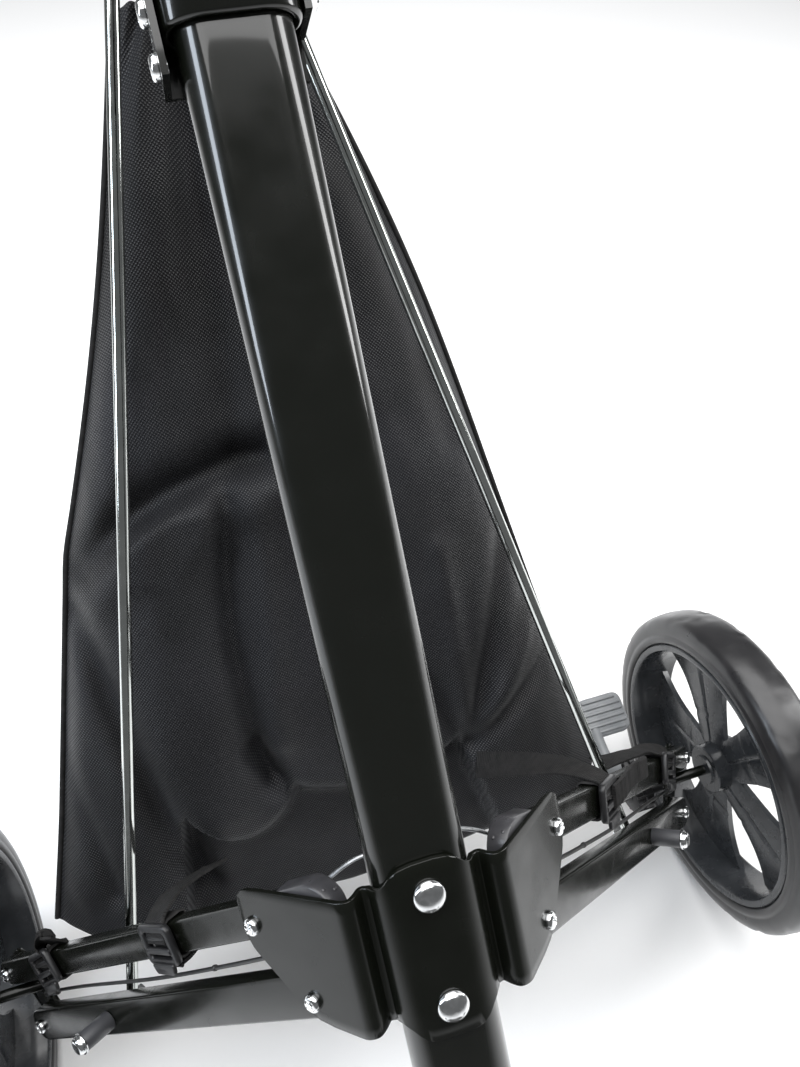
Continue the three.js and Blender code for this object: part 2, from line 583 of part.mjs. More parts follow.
function strutBracket() {
  const plateMiddle = hookPlateFront - HOOK.plate / 2;
  const tip = vector(strutTop.x + 26, 0, plateMiddle).applyMatrix4(legToTube);
  const near = vector(strutTop.x - 24, 0, plateMiddle).applyMatrix4(legToTube);
  const apex = near.z + near.x / Math.tan(Math.PI / 2 - LEG.sweep);
  const wings = [[-tip.x, tip.z], [0, apex], [tip.x, tip.z]];
  const vPlate = slab(bentSheet(wings.map(([x, n]) => [x, -n]), HOOK.plate), 522, 584).rotateX(-Math.PI / 2);
  const back = -TUBE.depth / 2 - COLLAR.wall - GAP;
  const rib = alongTube([[-2, back - 1], [2, back - 1], [2, apex + 0.5], [-2, apex + 0.5]], 528, 556);
  const web = alongTube([[-CHEEK.inner - 1, back], [CHEEK.inner + 1, back],
    [CHEEK.inner + 1, back - SHEET], [-CHEEK.inner - 1, back - SHEET]], CHEEK.bottom, CHEEK.top);
  const cheek = (side, bottom) => {
    const [near, far] = [side * CHEEK.inner, side * (CHEEK.inner + SHEET)];
    const section = [[near, 8], [far, 8], [far, back - SHEET], [near, back - SHEET]];
    return alongTube(section, bottom, CHEEK.top);
  };
  const cheeks = [cheek(1, COLLAR.bottom + 2), cheek(-1, CHEEK.bottom)];
  const slots = [1, -1].map((side) => {
    const cutter = slab(roundedOutline(rectangle(-slot.width / 2, slot.length + slot.width / 2 - 4,
      -slot.width / 2, slot.width / 2), 4), strutTop.z - 20, strutTop.z)
      .rotateZ(SLOT_ANGLE).translate(strutTop.x, strutTop.y, 0).applyMatrix4(legToTube);
    return side > 0 ? cutter : mirrored(cutter);
  });
  const boltHole = (u) => roundBar(BOLT.shank + GAP, vector(-45, u, -9), vector(-20, u, -9));
  const boltHoles = CLAMP_BOLTS.map(boltHole);
  return cut(join(web, rib, vPlate, ...cheeks), ...slots, ...boltHoles);
}

function clampBolt(u) {
  const seat = CHEEK.inner + SHEET + GAP;
  const profile = [[-seat - 3.4, 0], [-seat - 2.6, 4], [-seat - 1, 5.6], [-seat, 5.6],
    [-seat, 3], [-CHEEK.inner, 3], [-CHEEK.inner, 0]];
  return turned(profile, vector(0, u, -9), vector(1, 0, 0), 16);
}

addPiece(tubeFrame, 'collar', collar(), BLACK_PAINT);

// ---------------------------------------------------------------- hinge, upper tube and handle
// The upper tube folds forwards about a pin across the cart.
function hingeBase() {
  const cap = flatOval(TUBE.width, TUBE.depth, TUBE.top + GAP, TUBE.top + 10);
  const lugCorners = [[TUBE.top + 2, -12], [TUBE.top + 14, -12], [HINGE.u + 6, HINGE.n - 3],
    [HINGE.u + 6, HINGE.n + 8], [HINGE.u - 8, HINGE.n + 8], [TUBE.top + 2, 12]];
  const lug = acrossCart(roundedOutline(lugCorners, 5), -11, 11);
  const bore = roundBar(4 + GAP, vector(-60, HINGE.u, HINGE.n), vector(60, HINGE.u, HINGE.n));
  return cut(join(cap, lug), bore);
}

function hingeHead() {
  const cap = flatOval(TUBE.width, TUBE.depth, HINGE.u + 10, HINGE.u + 22);
  const outline = roundedOutline([[HINGE.u + 12, -12], [HINGE.u + 20, 12], [HINGE.u + 5, HINGE.n + 9],
    [HINGE.u - 8, HINGE.n + 8], [HINGE.u - 9, HINGE.n - 6], [HINGE.u + 6, HINGE.n - 12]], 4);
  const ears = [-1, 1].map((side) => acrossCart(outline, side > 0 ? 11.6 : -22, side > 0 ? 22 : -11.6));
  const tube = flatOval(UPPER_TUBE.width, UPPER_TUBE.depth, HINGE.u + 20, UPPER_TUBE.top);
  const bore = roundBar(4 + GAP, vector(-60, HINGE.u, HINGE.n), vector(60, HINGE.u, HINGE.n));
  return cut(join(cap, ...ears, tube), bore);
}

function hingePin() {
  const half = 22 + GAP;
  const profile = [[-half - 4, 0], [-half - 4, 4], [-half - 2.5, 7.5], [-half, 7.5], [-half, 4], [half, 4],
    [half, 9], [half + 4, 9], [half + 5, 15], [half + 16, 17], [half + 20, 14], [half + 21, 0]];
  return turned(profile, vector(0, HINGE.u, HINGE.n), vector(1, 0, 0), 20);
}

// A bag cradle: a saddle round its tube and two curved arms that reach forwards.
function cradle(u, height, reach, spread, hugging) {
  const clear = flatOval(hugging.width + 2 * GAP, hugging.depth + 2 * GAP, u - 60, u + 60);
  const saddle = flatOval(hugging.width + 14, hugging.depth + 14, u - height / 2, u + height / 2);
  const front = hugging.depth / 2 + 5;
  const arms = [1, -1].map((side) => {
    const line = [[side * 12, front], [side * 38, front + 2], [side * (spread * 0.72), front + 16],
      [side * (spread * 0.93), front + 42], [side * spread, front + reach * 0.72],
      [side * (spread - 6), front + reach]];
    const curve = new THREE.CatmullRomCurve3(line.map(([x, n]) => vector(x, n, 0)));
    const smooth = curve.getPoints(14).map((p) => [p.x, -p.y]);
    return slab(bentSheet(smooth, 8), u - height / 2 + 4, u + height / 2 - 4).rotateX(-Math.PI / 2);
  });
  return cut(join(saddle, ...arms), clear);
}

function lowerCradle() {
  const u = TUBE.bottom + 125;
  const arms = cradle(u, 44, 70, 92, TUBE);
  const plate = roundedOutline([[-58, 16], [58, 16], [66, 60], [52, 112], [-52, 112], [-66, 60]], 14);
  const footOutline = plate.getPoints(4).map((p) => new THREE.Vector2(p.x, -p.y));
  const foot = slab(new THREE.Shape(footOutline), u - 22, u - 15)
    .rotateX(-Math.PI / 2);
  const clear = flatOval(TUBE.width + 2 * GAP, TUBE.depth + 2 * GAP, u - 60, u + 60);
  return cut(join(arms, foot), clear);
}

const HANDLE = { u: UPPER_TUBE.top - 14, radius: 11, gripRadius: 16 };
const handlePath = [[-176, 8, -34], [-120, 6, -34], [-62, 2, -30], [0, 0, -28],
  [62, 2, -30], [120, 6, -34], [176, 8, -34]]
  .map(([x, u, n]) => vector(x, HANDLE.u + u, n));

function handleBar() {
  const bar = swept(handlePath, HANDLE.radius, 24, 14);
  const lug = roundBar(15, vector(-13, HANDLE.u, -28), vector(13, HANDLE.u, -28), 20);
  return join(bar, lug);
}

function handleGrip() {
  const curve = new THREE.CatmullRomCurve3(handlePath);
  const along = (from, to) => Array.from({ length: 6 },
    (_, i) => curve.getPointAt(from + ((to - from) * i) / 5));
  const skin = swept(along(0.66, 0.98), HANDLE.gripRadius, 6, 14);
  const core = swept(along(0.6, 1.0), HANDLE.radius + GAP, 8, 14);
  return cut(skin, core);
}

const upperCradleU = HINGE.u + 62;
addPiece(tubeFrame, 'hinge_base', hingeBase(), PLASTIC);
addPiece(tubeFrame, 'upper_tube', hingeHead(), BLACK_PAINT);
addPiece(tubeFrame, 'hinge_pin', hingePin(), PLASTIC);
addPiece(tubeFrame, 'upper_cradle', cradle(upperCradleU, 40, 84, 96, UPPER_TUBE), PLASTIC);
addPiece(tubeFrame, 'lower_cradle', lowerCradle(), PLASTIC);
addPiece(tubeFrame, 'handle_bar', handleBar(), BLACK_PAINT);
addPair('grip', handleGrip(), FOAM);

// ---------------------------------------------------------------- straps round the upper bars
// A webbing loop round the bar with its buckle on the front.
function strapLoop(along, tall) {
  const half = LEG.upperHeight / 2 + GAP;
  const side = LEG.thickness / 2 + GAP;
  const { width, thickness } = STRAP;
  const loop = cut(
    new THREE.BoxGeometry(width, 2 * (half + thickness), 2 * (side + thickness)),
    new THREE.BoxGeometry(width + 5, 2 * half, 2 * side));
  const buckle = new THREE.BoxGeometry(width + 10, tall, 7).translate(0, -3, side + thickness + 3);
  return join(loop, buckle).translate(along, 0, 0).rotateZ(-LEG.droop)
    .translate(upperPivot.x, upperPivot.y, 0);
}

addPair('inner_strap', strapLoop(96, 24), WEBBING, legs);
addPair('outer_strap', strapLoop(262, 22), WEBBING, legs);

// ---------------------------------------------------------------- soft bag
const BAG = {
  stations: [[-62, 214, 96], [-20, 205, 118], [60, 176, 112], [160, 146, 96], [260, 118, 78], [360, 92, 58],
    [440, 68, 40], [498, 48, 22]],
  rodLean: 0.12,
};

function storageBag() {
  const rings = BAG.stations.map(([u, half, depth]) => {
    const front = -192.4 - 18 + BAG.rodLean * (u + 113);
    const ring = [];
    for (let i = 0; i < 20; i += 1) {
      const angle = (i / 20) * Math.PI * 2;
      const c = Math.cos(angle);
      const s = Math.sin(angle);
      const squareness = 0.55;
      ring.push(vector(Math.sign(c) * Math.abs(c) ** squareness * half, u,
        front - depth / 2 + Math.sign(s) * Math.abs(s) ** squareness * (depth / 2)));
    }
    return ring;
  });
  return loft(rings);
}

// A closed skin over rings with the same number of points.
function loft(rings) {
  const count = rings[0].length;
  const positions = rings.flat().flatMap((p) => [p.x, p.y, p.z]);
  const centres = [rings[0], rings[rings.length - 1]].map((ring) =>
    ring.reduce((sum, p) => sum.add(p), vector(0, 0, 0)).divideScalar(count));
  centres.forEach((p) => positions.push(p.x, p.y, p.z));
  const index = [];
  for (let r = 0; r < rings.length - 1; r += 1) {
    for (let i = 0; i < count; i += 1) {
      const [a, b] = [r * count + i, r * count + ((i + 1) % count)];
      index.push(a, a + count, b, b, a + count, b + count);
    }
  }
  const last = (rings.length - 1) * count;
  const hub = rings.length * count;
  for (let i = 0; i < count; i += 1) {
    const next = (i + 1) % count;
    index.push(hub, i, next, hub + 1, last + next, last + i);
  }
  const geometry = new THREE.BufferGeometry();
  geometry.setAttribute('position', new THREE.Float32BufferAttribute(positions, 3));
  geometry.setIndex(index);
  geometry.computeVertexNormals();
  return geometry;
}

addPiece(tubeFrame, 'storage_bag', storageBag(), NYLON);
addPiece(tubeFrame, 'strut_bracket', strutBracket(), BLACK_PAINT);
addPiece(tubeFrame, 'collar_bolt_upper', clampBolt(CLAMP_BOLTS[0]), CHROME);
addPiece(tubeFrame, 'collar_bolt_lower', clampBolt(CLAMP_BOLTS[1]), CHROME);

// The origin is the middle of the whole cart's box, on the floor.
cart.updateMatrixWorld(true);
const box = new THREE.Box3().setFromObject(cart, true);
tubeFrame.position.y -= (box.min.y + box.max.y) / 2;
tubeFrame.position.z -= box.min.z;

export default cart;
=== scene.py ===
import json
import math
import random

import bmesh
import bpy
import numpy as np
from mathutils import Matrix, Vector, noise


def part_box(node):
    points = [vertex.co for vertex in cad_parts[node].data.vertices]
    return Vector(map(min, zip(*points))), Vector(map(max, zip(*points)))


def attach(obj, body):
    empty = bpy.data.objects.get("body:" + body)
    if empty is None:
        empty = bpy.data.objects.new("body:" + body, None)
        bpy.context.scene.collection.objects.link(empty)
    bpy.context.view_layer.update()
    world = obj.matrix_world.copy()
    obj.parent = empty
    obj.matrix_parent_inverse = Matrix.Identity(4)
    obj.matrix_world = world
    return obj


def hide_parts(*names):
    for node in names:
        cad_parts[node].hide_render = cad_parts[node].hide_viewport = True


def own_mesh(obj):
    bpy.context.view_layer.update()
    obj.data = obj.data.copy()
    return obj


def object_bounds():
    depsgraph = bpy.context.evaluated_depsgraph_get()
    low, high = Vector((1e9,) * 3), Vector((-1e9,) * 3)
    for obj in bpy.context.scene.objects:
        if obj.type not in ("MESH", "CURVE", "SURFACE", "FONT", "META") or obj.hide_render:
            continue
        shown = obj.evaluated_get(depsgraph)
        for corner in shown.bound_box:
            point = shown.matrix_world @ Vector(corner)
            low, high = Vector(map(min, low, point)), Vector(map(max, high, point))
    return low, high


# Visual model of a three-wheel push cart with a nylon bag slung under its main tube.
# Sizes are millimetres in the helpers below and become metres in the shared frame.

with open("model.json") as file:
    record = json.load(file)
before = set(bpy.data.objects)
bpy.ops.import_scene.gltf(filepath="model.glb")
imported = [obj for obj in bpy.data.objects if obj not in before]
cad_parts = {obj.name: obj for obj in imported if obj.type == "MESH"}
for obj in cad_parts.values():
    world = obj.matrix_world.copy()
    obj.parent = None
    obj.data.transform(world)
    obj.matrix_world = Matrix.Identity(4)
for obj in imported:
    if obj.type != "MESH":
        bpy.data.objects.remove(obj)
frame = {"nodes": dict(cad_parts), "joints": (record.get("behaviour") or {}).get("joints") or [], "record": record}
cad_low, cad_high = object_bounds()
random.seed(7)

# ---------------------------------------------------------------- frames of reference
MM = 0.001
joints = {joint["name"]: joint for joint in frame["joints"]}
LEAN = math.radians(42)
SWEEP = math.radians(48)
DROOP = math.radians(21.5)
ACROSS = Vector((1, 0, 0))
UP = Vector((0, math.sin(LEAN), math.cos(LEAN)))
OUT = Vector((0, -math.cos(LEAN), math.sin(LEAN)))
PIVOT = (58.14, -28.6, -21.96)
ORIGIN = (Vector(joints["right_leg_fold"]["pos_m"])
          - MM * (PIVOT[0] * ACROSS + PIVOT[1] * UP + PIVOT[2] * OUT))


def tube_point(x, u, n):
    """x across the cart, u up the main tube, n out of its front face."""
    return ORIGIN + MM * (float(x) * ACROSS + float(u) * UP + float(n) * OUT)


def leg_axes(side):
    """A leg's own axes: outwards, up the tube, and out of its front face."""
    c, s = math.cos(SWEEP), math.sin(SWEEP)
    return side * c * ACROSS - s * OUT, UP.copy(), side * s * ACROSS + c * OUT


def leg_point(side, o, v, m):
    outward, up, front = leg_axes(side)
    pivot = tube_point(side * PIVOT[0], PIVOT[1], PIVOT[2])
    return pivot + MM * (float(o) * outward + float(v) * up + float(m) * front)


def bar_axes(side):
    """Axes of the two parallel bars: along, above and in front."""
    outward, up, front = leg_axes(side)
    c, s = math.cos(DROOP), math.sin(DROOP)
    return c * outward - s * up, s * outward + c * up, front


UPPER_PIVOT = (32.4, 36)
SIDES = {"right": 1, "left": -1}
LEG_LENGTH = 346
STRUT_ALONG = 232.1
STRUT_TOP = (28, 555, -112)


def bar_point(side, upper, along, above, ahead):
    """A point on the upper or lower bar, measured from its inner pivot."""
    start = leg_point(side, *(UPPER_PIVOT if upper else (0, 0)), 0)
    a, b, c = bar_axes(side)
    return start + MM * (float(along) * a + float(above) * b + float(ahead) * c)


# ---------------------------------------------------------------- camera
camera_data = bpy.data.cameras.new("main_camera")
camera = bpy.data.objects.new("main_camera", camera_data)
bpy.context.scene.collection.objects.link(camera)
camera_data.sensor_width = 36
camera_data.lens = 28.0
camera_data.clip_start = 0.01
camera.location = tube_point(-47.34, 267.39, 371.92)
VIEW = Vector((0.18864, 0.59993, -0.77751)).normalized()
camera.rotation_euler = VIEW.to_track_quat("-Z", "Y").to_euler()
bpy.context.scene.camera = camera


# ---------------------------------------------------------------- materials
def node_material(name, color, roughness, metallic=0.0, **sockets):
    material = bpy.data.materials.new(name)
    material.use_nodes = True
    shader = material.node_tree.nodes["Principled BSDF"]
    shader.inputs["Base Color"].default_value = (*color, 1)
    shader.inputs["Roughness"].default_value = roughness
    shader.inputs["Metallic"].default_value = metallic
    for socket, value in sockets.items():
        shader.inputs[socket.replace("_", " ")].default_value = value
    return material


def add_node(material, kind, **values):
    node = material.node_tree.nodes.new(kind)
    for key, value in values.items():
        if key in node.inputs:
            node.inputs[key].default_value = value
        else:
            setattr(node, key, value)
    return node


def object_noise(material, scale, detail=3.0, stretch=(1, 1, 1)):
    """Noise on the object's own coordinates, in cells per metre."""
    links = material.node_tree.links
    place = add_node(material, "ShaderNodeTexCoord")
    mapping = add_node(material, "ShaderNodeMapping")
    mapping.inputs["Scale"].default_value = stretch
    texture = add_node(material, "ShaderNodeTexNoise", Scale=scale, Detail=detail)
    links.new(place.outputs["Object"], mapping.inputs["Vector"])
    links.new(mapping.outputs["Vector"], texture.inputs["Vector"])
    return texture.outputs["Fac"]


def vary(material, socket, source, low, high):
    """Spreads a 0..1 source between two values of a shader socket."""
    links = material.node_tree.links
    shader = material.node_tree.nodes["Principled BSDF"]
    if isinstance(low, tuple):
        ramp = add_node(material, "ShaderNodeValToRGB")
        ramp.color_ramp.elements[0].position = 0.3
        ramp.color_ramp.elements[1].position = 0.72
        ramp.color_ramp.elements[0].color = (*low, 1)
        ramp.color_ramp.elements[1].color = (*high, 1)
        links.new(source, ramp.inputs["Fac"])
        links.new(ramp.outputs["Color"], shader.inputs[socket])
        return
    remap = add_node(material, "ShaderNodeMapRange")
    remap.inputs["From Min"].default_value = 0.25
    remap.inputs["From Max"].default_value = 0.75
    remap.inputs["To Min"].default_value = low
    remap.inputs["To Max"].default_value = high
    links.new(source, remap.inputs["Value"])
    links.new(remap.outputs["Result"], shader.inputs[socket])


def bump(material, source, depth_mm, strength=1.0):
    links = material.node_tree.links
    shader = material.node_tree.nodes["Principled BSDF"]
    node = add_node(material, "ShaderNodeBump", Strength=strength, Distance=depth_mm * MM)
    links.new(source, node.inputs["Height"])
    if shader.inputs["Normal"].is_linked:
        links.new(shader.inputs["Normal"].links[0].from_socket, node.inputs["Normal"])
    links.new(node.outputs["Normal"], shader.inputs["Normal"])


def math_node(material, operation, a, b=None):
    node = add_node(material, "ShaderNodeMath", operation=operation)
    for index, value in enumerate((a, b)):
        if value is None:
            continue
        if isinstance(value, (int, float)):
            node.inputs[index].default_value = value
        else:
            material.node_tree.links.new(value, node.inputs[index])
    return node.outputs["Value"]


def weave_height(material, pitch_mm, ribbed=False):
    """Over-and-under threads on the surface's own u, v, which are in metres."""
    links = material.node_tree.links
    place = add_node(material, "ShaderNodeTexCoord")
    split = add_node(material, "ShaderNodeSeparateXYZ")
    links.new(place.outputs["UV"], split.inputs["Vector"])
    turns = 2 * math.pi / (pitch_mm * MM)
    across = math_node(material, "SINE", math_node(material, "MULTIPLY", split.outputs["X"], turns))
    along = math_node(material, "SINE", math_node(material, "MULTIPLY", split.outputs["Y"], turns))
    if ribbed:
        return math_node(material, "ADD", math_node(material, "MULTIPLY", across, 0.35), along)
    return math_node(material, "MULTIPLY", across, along)


def paint_material(name, coat):
    # The faint olive tint of this near-black base colour is a painted reflection of the surroundings, not the
    # paint's own colour.
    material = node_material(name, (0.0042, 0.0048, 0.0034), 0.2, IOR=1.33,
                             Coat_Weight=coat, Coat_Roughness=0.04)
    vary(material, "Roughness", object_noise(material, 45), 0.16, 0.3)
    bump(material, object_noise(material, 900, 1.0), 0.012, 0.25)
    return material


def black_chrome_material():
    material = node_material("black_chrome", (0.30, 0.31, 0.31), 0.09, 1.0)
    vary(material, "Base Color", object_noise(material, 30), (0.5, 0.52, 0.5), (0.68, 0.7, 0.68))
    vary(material, "Roughness", object_noise(material, 120), 0.06, 0.16)
    return material


def chrome_material():
    material = node_material("bright_chrome", (0.78, 0.79, 0.8), 0.14, 1.0)
    vary(material, "Roughness", object_noise(material, 400), 0.08, 0.24)
    vary(material, "Base Color", object_noise(material, 260), (0.62, 0.63, 0.63), (0.84, 0.85, 0.86))
    bump(material, object_noise(material, 1500, 2.0), 0.02, 0.35)
    return material


def steel_material():
    material = node_material("zinc_steel", (0.42, 0.43, 0.44), 0.34, 1.0)
    vary(material, "Base Color", object_noise(material, 220), (0.33, 0.34, 0.35), (0.5, 0.51, 0.52))
    vary(material, "Roughness", object_noise(material, 500), 0.25, 0.42)
    return material


def plastic_material(name, dark, light, roughness, grain_mm=0.03):
    material = node_material(name, dark, roughness)
    vary(material, "Base Color", object_noise(material, 60, 5.0), dark, light)
    vary(material, "Roughness", object_noise(material, 90), roughness - 0.07, roughness + 0.08)
    bump(material, object_noise(material, 2200, 2.0), grain_mm, 0.5)
    return material


def rubber_material():
    material = node_material("tyre_rubber", (0.02, 0.02, 0.022), 0.3, Sheen_Weight=0.1,
                             Sheen_Roughness=0.4)
    vary(material, "Base Color", object_noise(material, 25, 4.0),
         (0.012, 0.012, 0.013), (0.022, 0.021, 0.022))
    vary(material, "Roughness", object_noise(material, 70), 0.26, 0.38)
    bump(material, object_noise(material, 1300, 2.0), 0.03, 0.4)
    return material


def foam_material():
    material = node_material("grip_foam", (0.012, 0.012, 0.013), 0.85)
    vary(material, "Base Color", object_noise(material, 300, 4.0), (0.008, 0.008, 0.009), (0.02, 0.02, 0.021))
    bump(material, object_noise(material, 1800, 3.0), 0.25, 0.7)
    return material


def nylon_material():
    material = node_material("bag_nylon", (0.006, 0.006, 0.007), 0.5, Sheen_Weight=0.08,
                             Sheen_Roughness=0.4)
    weave = weave_height(material, 2.3)
    # The large soft patches of lighter and darker base colour are painted satin highlights and painted shade on
    # the cloth.
    vary(material, "Base Color", object_noise(material, 8, 4.0),
         (0.0025, 0.0025, 0.003), (0.014, 0.0145, 0.0175))
    vary(material, "Specular IOR Level", weave, 0.18, 0.85)
    vary(material, "Roughness", object_noise(material, 24), 0.44, 0.62)
    bump(material, object_noise(material, 55, 3.0), 0.9, 0.4)
    bump(material, weave, 0.24, 0.9)
    return material


def webbing_material():
    material = node_material("strap_webbing", (0.006, 0.006, 0.006), 0.75, Specular_IOR_Level=0.25)
    vary(material, "Base Color", object_noise(material, 200, 4.0),
         (0.007, 0.007, 0.007), (0.02, 0.019, 0.019))
    bump(material, weave_height(material, 1.6, ribbed=True), 0.35, 0.8)
    return material


MATERIALS = {
    "black_paint": paint_material("black_gloss_paint", 0.7),
    "black_chrome": black_chrome_material(),
    "bright_chrome": chrome_material(),
    "zinc_steel": steel_material(),
    "black_plastic": plastic_material("black_plastic", (0.008, 0.008, 0.009),
                                      (0.016, 0.016, 0.017), 0.38),
    "grey_plastic": plastic_material("grey_plastic", (0.035, 0.036, 0.040), (0.055, 0.056, 0.061), 0.42),
    "tyre_rubber": rubber_material(),
    "grip_foam": foam_material(),
    "bag_nylon": nylon_material(),
    "strap_webbing": webbing_material(),
}
SHEET_PAINT = paint_material("black_sheet_paint", 0.06)
PEDAL_GREY = plastic_material("pedal_grey", (0.20, 0.21, 0.22), (0.28, 0.29, 0.30), 0.4)
CAP_GREY = plastic_material("nose_cap_grey", (0.028, 0.028, 0.031), (0.055, 0.054, 0.058), 0.32)
CABLE_BLACK = plastic_material("cable_sheath", (0.012, 0.012, 0.012), (0.03, 0.03, 0.03), 0.35)
RIM_GREY = plastic_material("rim_satin", (0.022, 0.024, 0.027), (0.04, 0.043, 0.047), 0.24, 0.01)
for subpart in frame["record"]["subparts"]:
    cad_mesh = frame["nodes"][subpart["node"]].data
    cad_mesh.materials.clear()
    cad_mesh.materials.append(MATERIALS[subpart["material_slot"]])


# ---------------------------------------------------------------- mesh helpers
def spread(first, last, count):
    """Evenly spaced numbers from first to last."""
    return [first + (last - first) * i / (count - 1) for i in range(count)]


def piece(name, vertices, faces, slot, body, replaces=(), sharp=38, uvs=None, look=None):
    """A smooth-shaded mesh that rides on a body and stands for CAD nodes."""
    mesh = bpy.data.meshes.new(name)
    mesh.from_pydata([tuple(v) for v in vertices], [], [tuple(f) for f in faces])
    mesh.materials.append(look or MATERIALS[slot])
    bm = bmesh.new()
    bm.from_mesh(mesh)
    bmesh.ops.recalc_face_normals(bm, faces=bm.faces)
    bm.to_mesh(mesh)
    bm.free()
    mesh.shade_smooth()
    mesh.set_sharp_from_angle(angle=math.radians(sharp))
    if uvs is not None:
        layer = mesh.uv_layers.new(name="weave")
        for loop in mesh.loops:
            layer.data[loop.index].uv = uvs[loop.vertex_index]
    obj = bpy.data.objects.new(name, mesh)
    bpy.context.scene.collection.objects.link(obj)
    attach(obj, body)
    if replaces:
        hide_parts(*replaces)
    return obj


def loft(rings, closed=False):
    """Skins rings with the same number of points, capped at both ends unless the run closes on itself."""
    count = len(rings[0])
    vertices = [p for ring in rings for p in ring]
    faces = []
    spans = len(rings) if closed else len(rings) - 1
    for r in range(spans):
        a, b = r * count, ((r + 1) % len(rings)) * count
        faces += [(a + i, a + (i + 1) % count, b + (i + 1) % count, b + i) for i in range(count)]
    if not closed:
        faces.append(tuple(range(count)))
        faces.append(tuple(range((len(rings) - 1) * count, len(rings) * count))[::-1])
    return vertices, faces


def merge(*parts):
    vertices, faces = [], []
    for part_vertices, part_faces in parts:
        start = len(vertices)
        vertices += list(part_vertices)
        faces += [tuple(i + start for i in face) for face in part_faces]
    return vertices, faces


def rays_around(axis, count):
    """Evenly turned directions square to an axis."""
    side = axis.orthogonal().normalized()
    other = axis.cross(side)
    turns = [2 * math.pi * i / count for i in range(count)]
    return [math.cos(t) * side + math.sin(t) * other for t in turns]


def lathe(profile, place, axis, segments=40):
    """Turns (along, radius) points about an axis through place; radii of 0 close the ends."""
    rays = rays_around(axis, segments)
    rings = [[place + MM * (along * axis + max(radius, 0.02) * ray) for ray in rays]
             for along, radius in profile]
    return loft(rings)


def closed_lathe(profile, place, axis, segments=72):
    """Turns a closed (along, radius) outline about an axis, as for a tyre."""
    rings = [[place + MM * (along * axis + radius * ray) for along, radius in profile]
             for ray in rays_around(axis, segments)]
    return loft(rings, closed=True)


def rounded_rectangle(width, height, radius, steps=4):
    points = []
    for index, (sx, sy) in enumerate([(1, 1), (-1, 1), (-1, -1), (1, -1)]):
        cx, cy = sx * (width / 2 - radius), sy * (height / 2 - radius)
        for k in range(steps + 1):
            t = math.pi / 2 * (index + k / steps)
            points.append((cx + radius * math.cos(t), cy + radius * math.sin(t)))
    return points


def flat_oval(width, depth, steps=20):
    return rounded_rectangle(width, depth, depth / 2 - 0.01, steps // 2)


def straight_bar(section, start, end, axis_a, axis_b, soften=1.0):
    """A bar of constant section with its two ends slightly rounded."""
    along = (end - start).normalized()
    length = (end - start).length
    rings = []
    for distance, shrink in [(0, soften), (0.3 * soften * MM, 0.3 * soften), (soften * MM, 0),
                             (length - soften * MM, 0), (length - 0.3 * soften * MM, 0.3 * soften),
                             (length, soften)]:
        ring = []
        for a, b in section:
            reach = max(math.hypot(a, b), 0.01)
            scale = (reach - shrink) / reach
            ring.append(start + distance * along + MM * scale * (a * axis_a + b * axis_b))
        rings.append(ring)
    return loft(rings)


def tube_bar(outer, inner, start, end, axis_a, axis_b):
    """A hollow bar: both sections have the same number of points."""
    place = lambda section, at: [at + MM * (a * axis_a + b * axis_b) for a, b in section]
    rings = [place(outer, start), place(outer, end), place(inner, end), place(inner, start)]
    return loft(rings, closed=True)


def sweep_path(points, radius, sides=16, steps=8):
    """A round bar along a smooth curve through the points."""
    path = smooth_path(points, steps)
    rings = []
    side = (path[1] - path[0]).orthogonal().normalized()
    for i, p in enumerate(path):
        tangent = (path[min(i + 1, len(path) - 1)] - path[max(i - 1, 0)]).normalized()
        side = (side - side.dot(tangent) * tangent).normalized()
        other = tangent.cross(side)
        rings.append([p + MM * radius * (math.cos(t) * side + math.sin(t) * other)
                      for t in (2 * math.pi * k / sides for k in range(sides))])
    return loft(rings)


def smooth_path(points, steps=8):
    """Catmull-Rom curve through the points."""
    ends = [2 * points[0] - points[1], *points, 2 * points[-1] - points[-2]]
    path = []
    for i in range(1, len(ends) - 2):
        p0, p1, p2, p3 = ends[i - 1:i + 3]
        for k in range(steps):
            t = k / steps
            path.append(0.5 * ((2 * p1) + (p2 - p0) * t + (2 * p0 - 5 * p1 + 4 * p2 - p3) * t * t
                               + (3 * p1 - p0 - 3 * p2 + p3) * t ** 3))
    path.append(points[-1])
    return path


def round_corners(points, radii, steps=4):
    """Rounds the corners of a closed flat outline."""
    outline = []
    count = len(points)
    for i, (x, y) in enumerate(points):
        radius = radii[i] if isinstance(radii, (list, tuple)) else radii
        corner = np.array((x, y), float)
        before, after = np.array(points[i - 1], float), np.array(points[(i + 1) % count], float)
        to_before, to_after = before - corner, after - corner
        reach = min(radius, 0.48 * np.linalg.norm(to_before), 0.48 * np.linalg.norm(to_after))
        start = corner + to_before / np.linalg.norm(to_before) * reach
        end = corner + to_after / np.linalg.norm(to_after) * reach
        for k in range(steps + 1):
            t = k / steps
            outline.append(tuple((1 - t) ** 2 * start + 2 * t * (1 - t) * corner + t * t * end))
    return outline


def plate(outline, place, axis_a, axis_b, axis_c, low, high, bevel=0.6):
    """A flat plate between two distances along axis_c, with bevelled edges."""
    points = np.array(outline, float)
    edge_normals = []
    count = len(points)
    for i in range(count):
        edge_in = points[i] - points[i - 1]
        edge_out = points[(i + 1) % count] - points[i]
        normal = np.array((edge_in[1] + edge_out[1], -edge_in[0] - edge_out[0]))
        length = np.linalg.norm(normal)
        edge_normals.append(normal / length if length > 1e-9 else np.zeros(2))
    area = 0.5 * sum(points[i - 1][0] * points[i][1] - points[i][0] * points[i - 1][1]
                     for i in range(count))
    inward = -np.array(edge_normals) * (1 if area > 0 else -1)
    rings = []
    for level, inset in [(low, bevel), (low + 0.3 * bevel, 0.3 * bevel), (low + bevel, 0),
                         (high - bevel, 0), (high - 0.3 * bevel, 0.3 * bevel), (high, bevel)]:
        ring = points + inward * inset
        rings.append([place + MM * (a * axis_a + b * axis_b + level * axis_c) for a, b in ring.tolist()])
    return loft(rings)


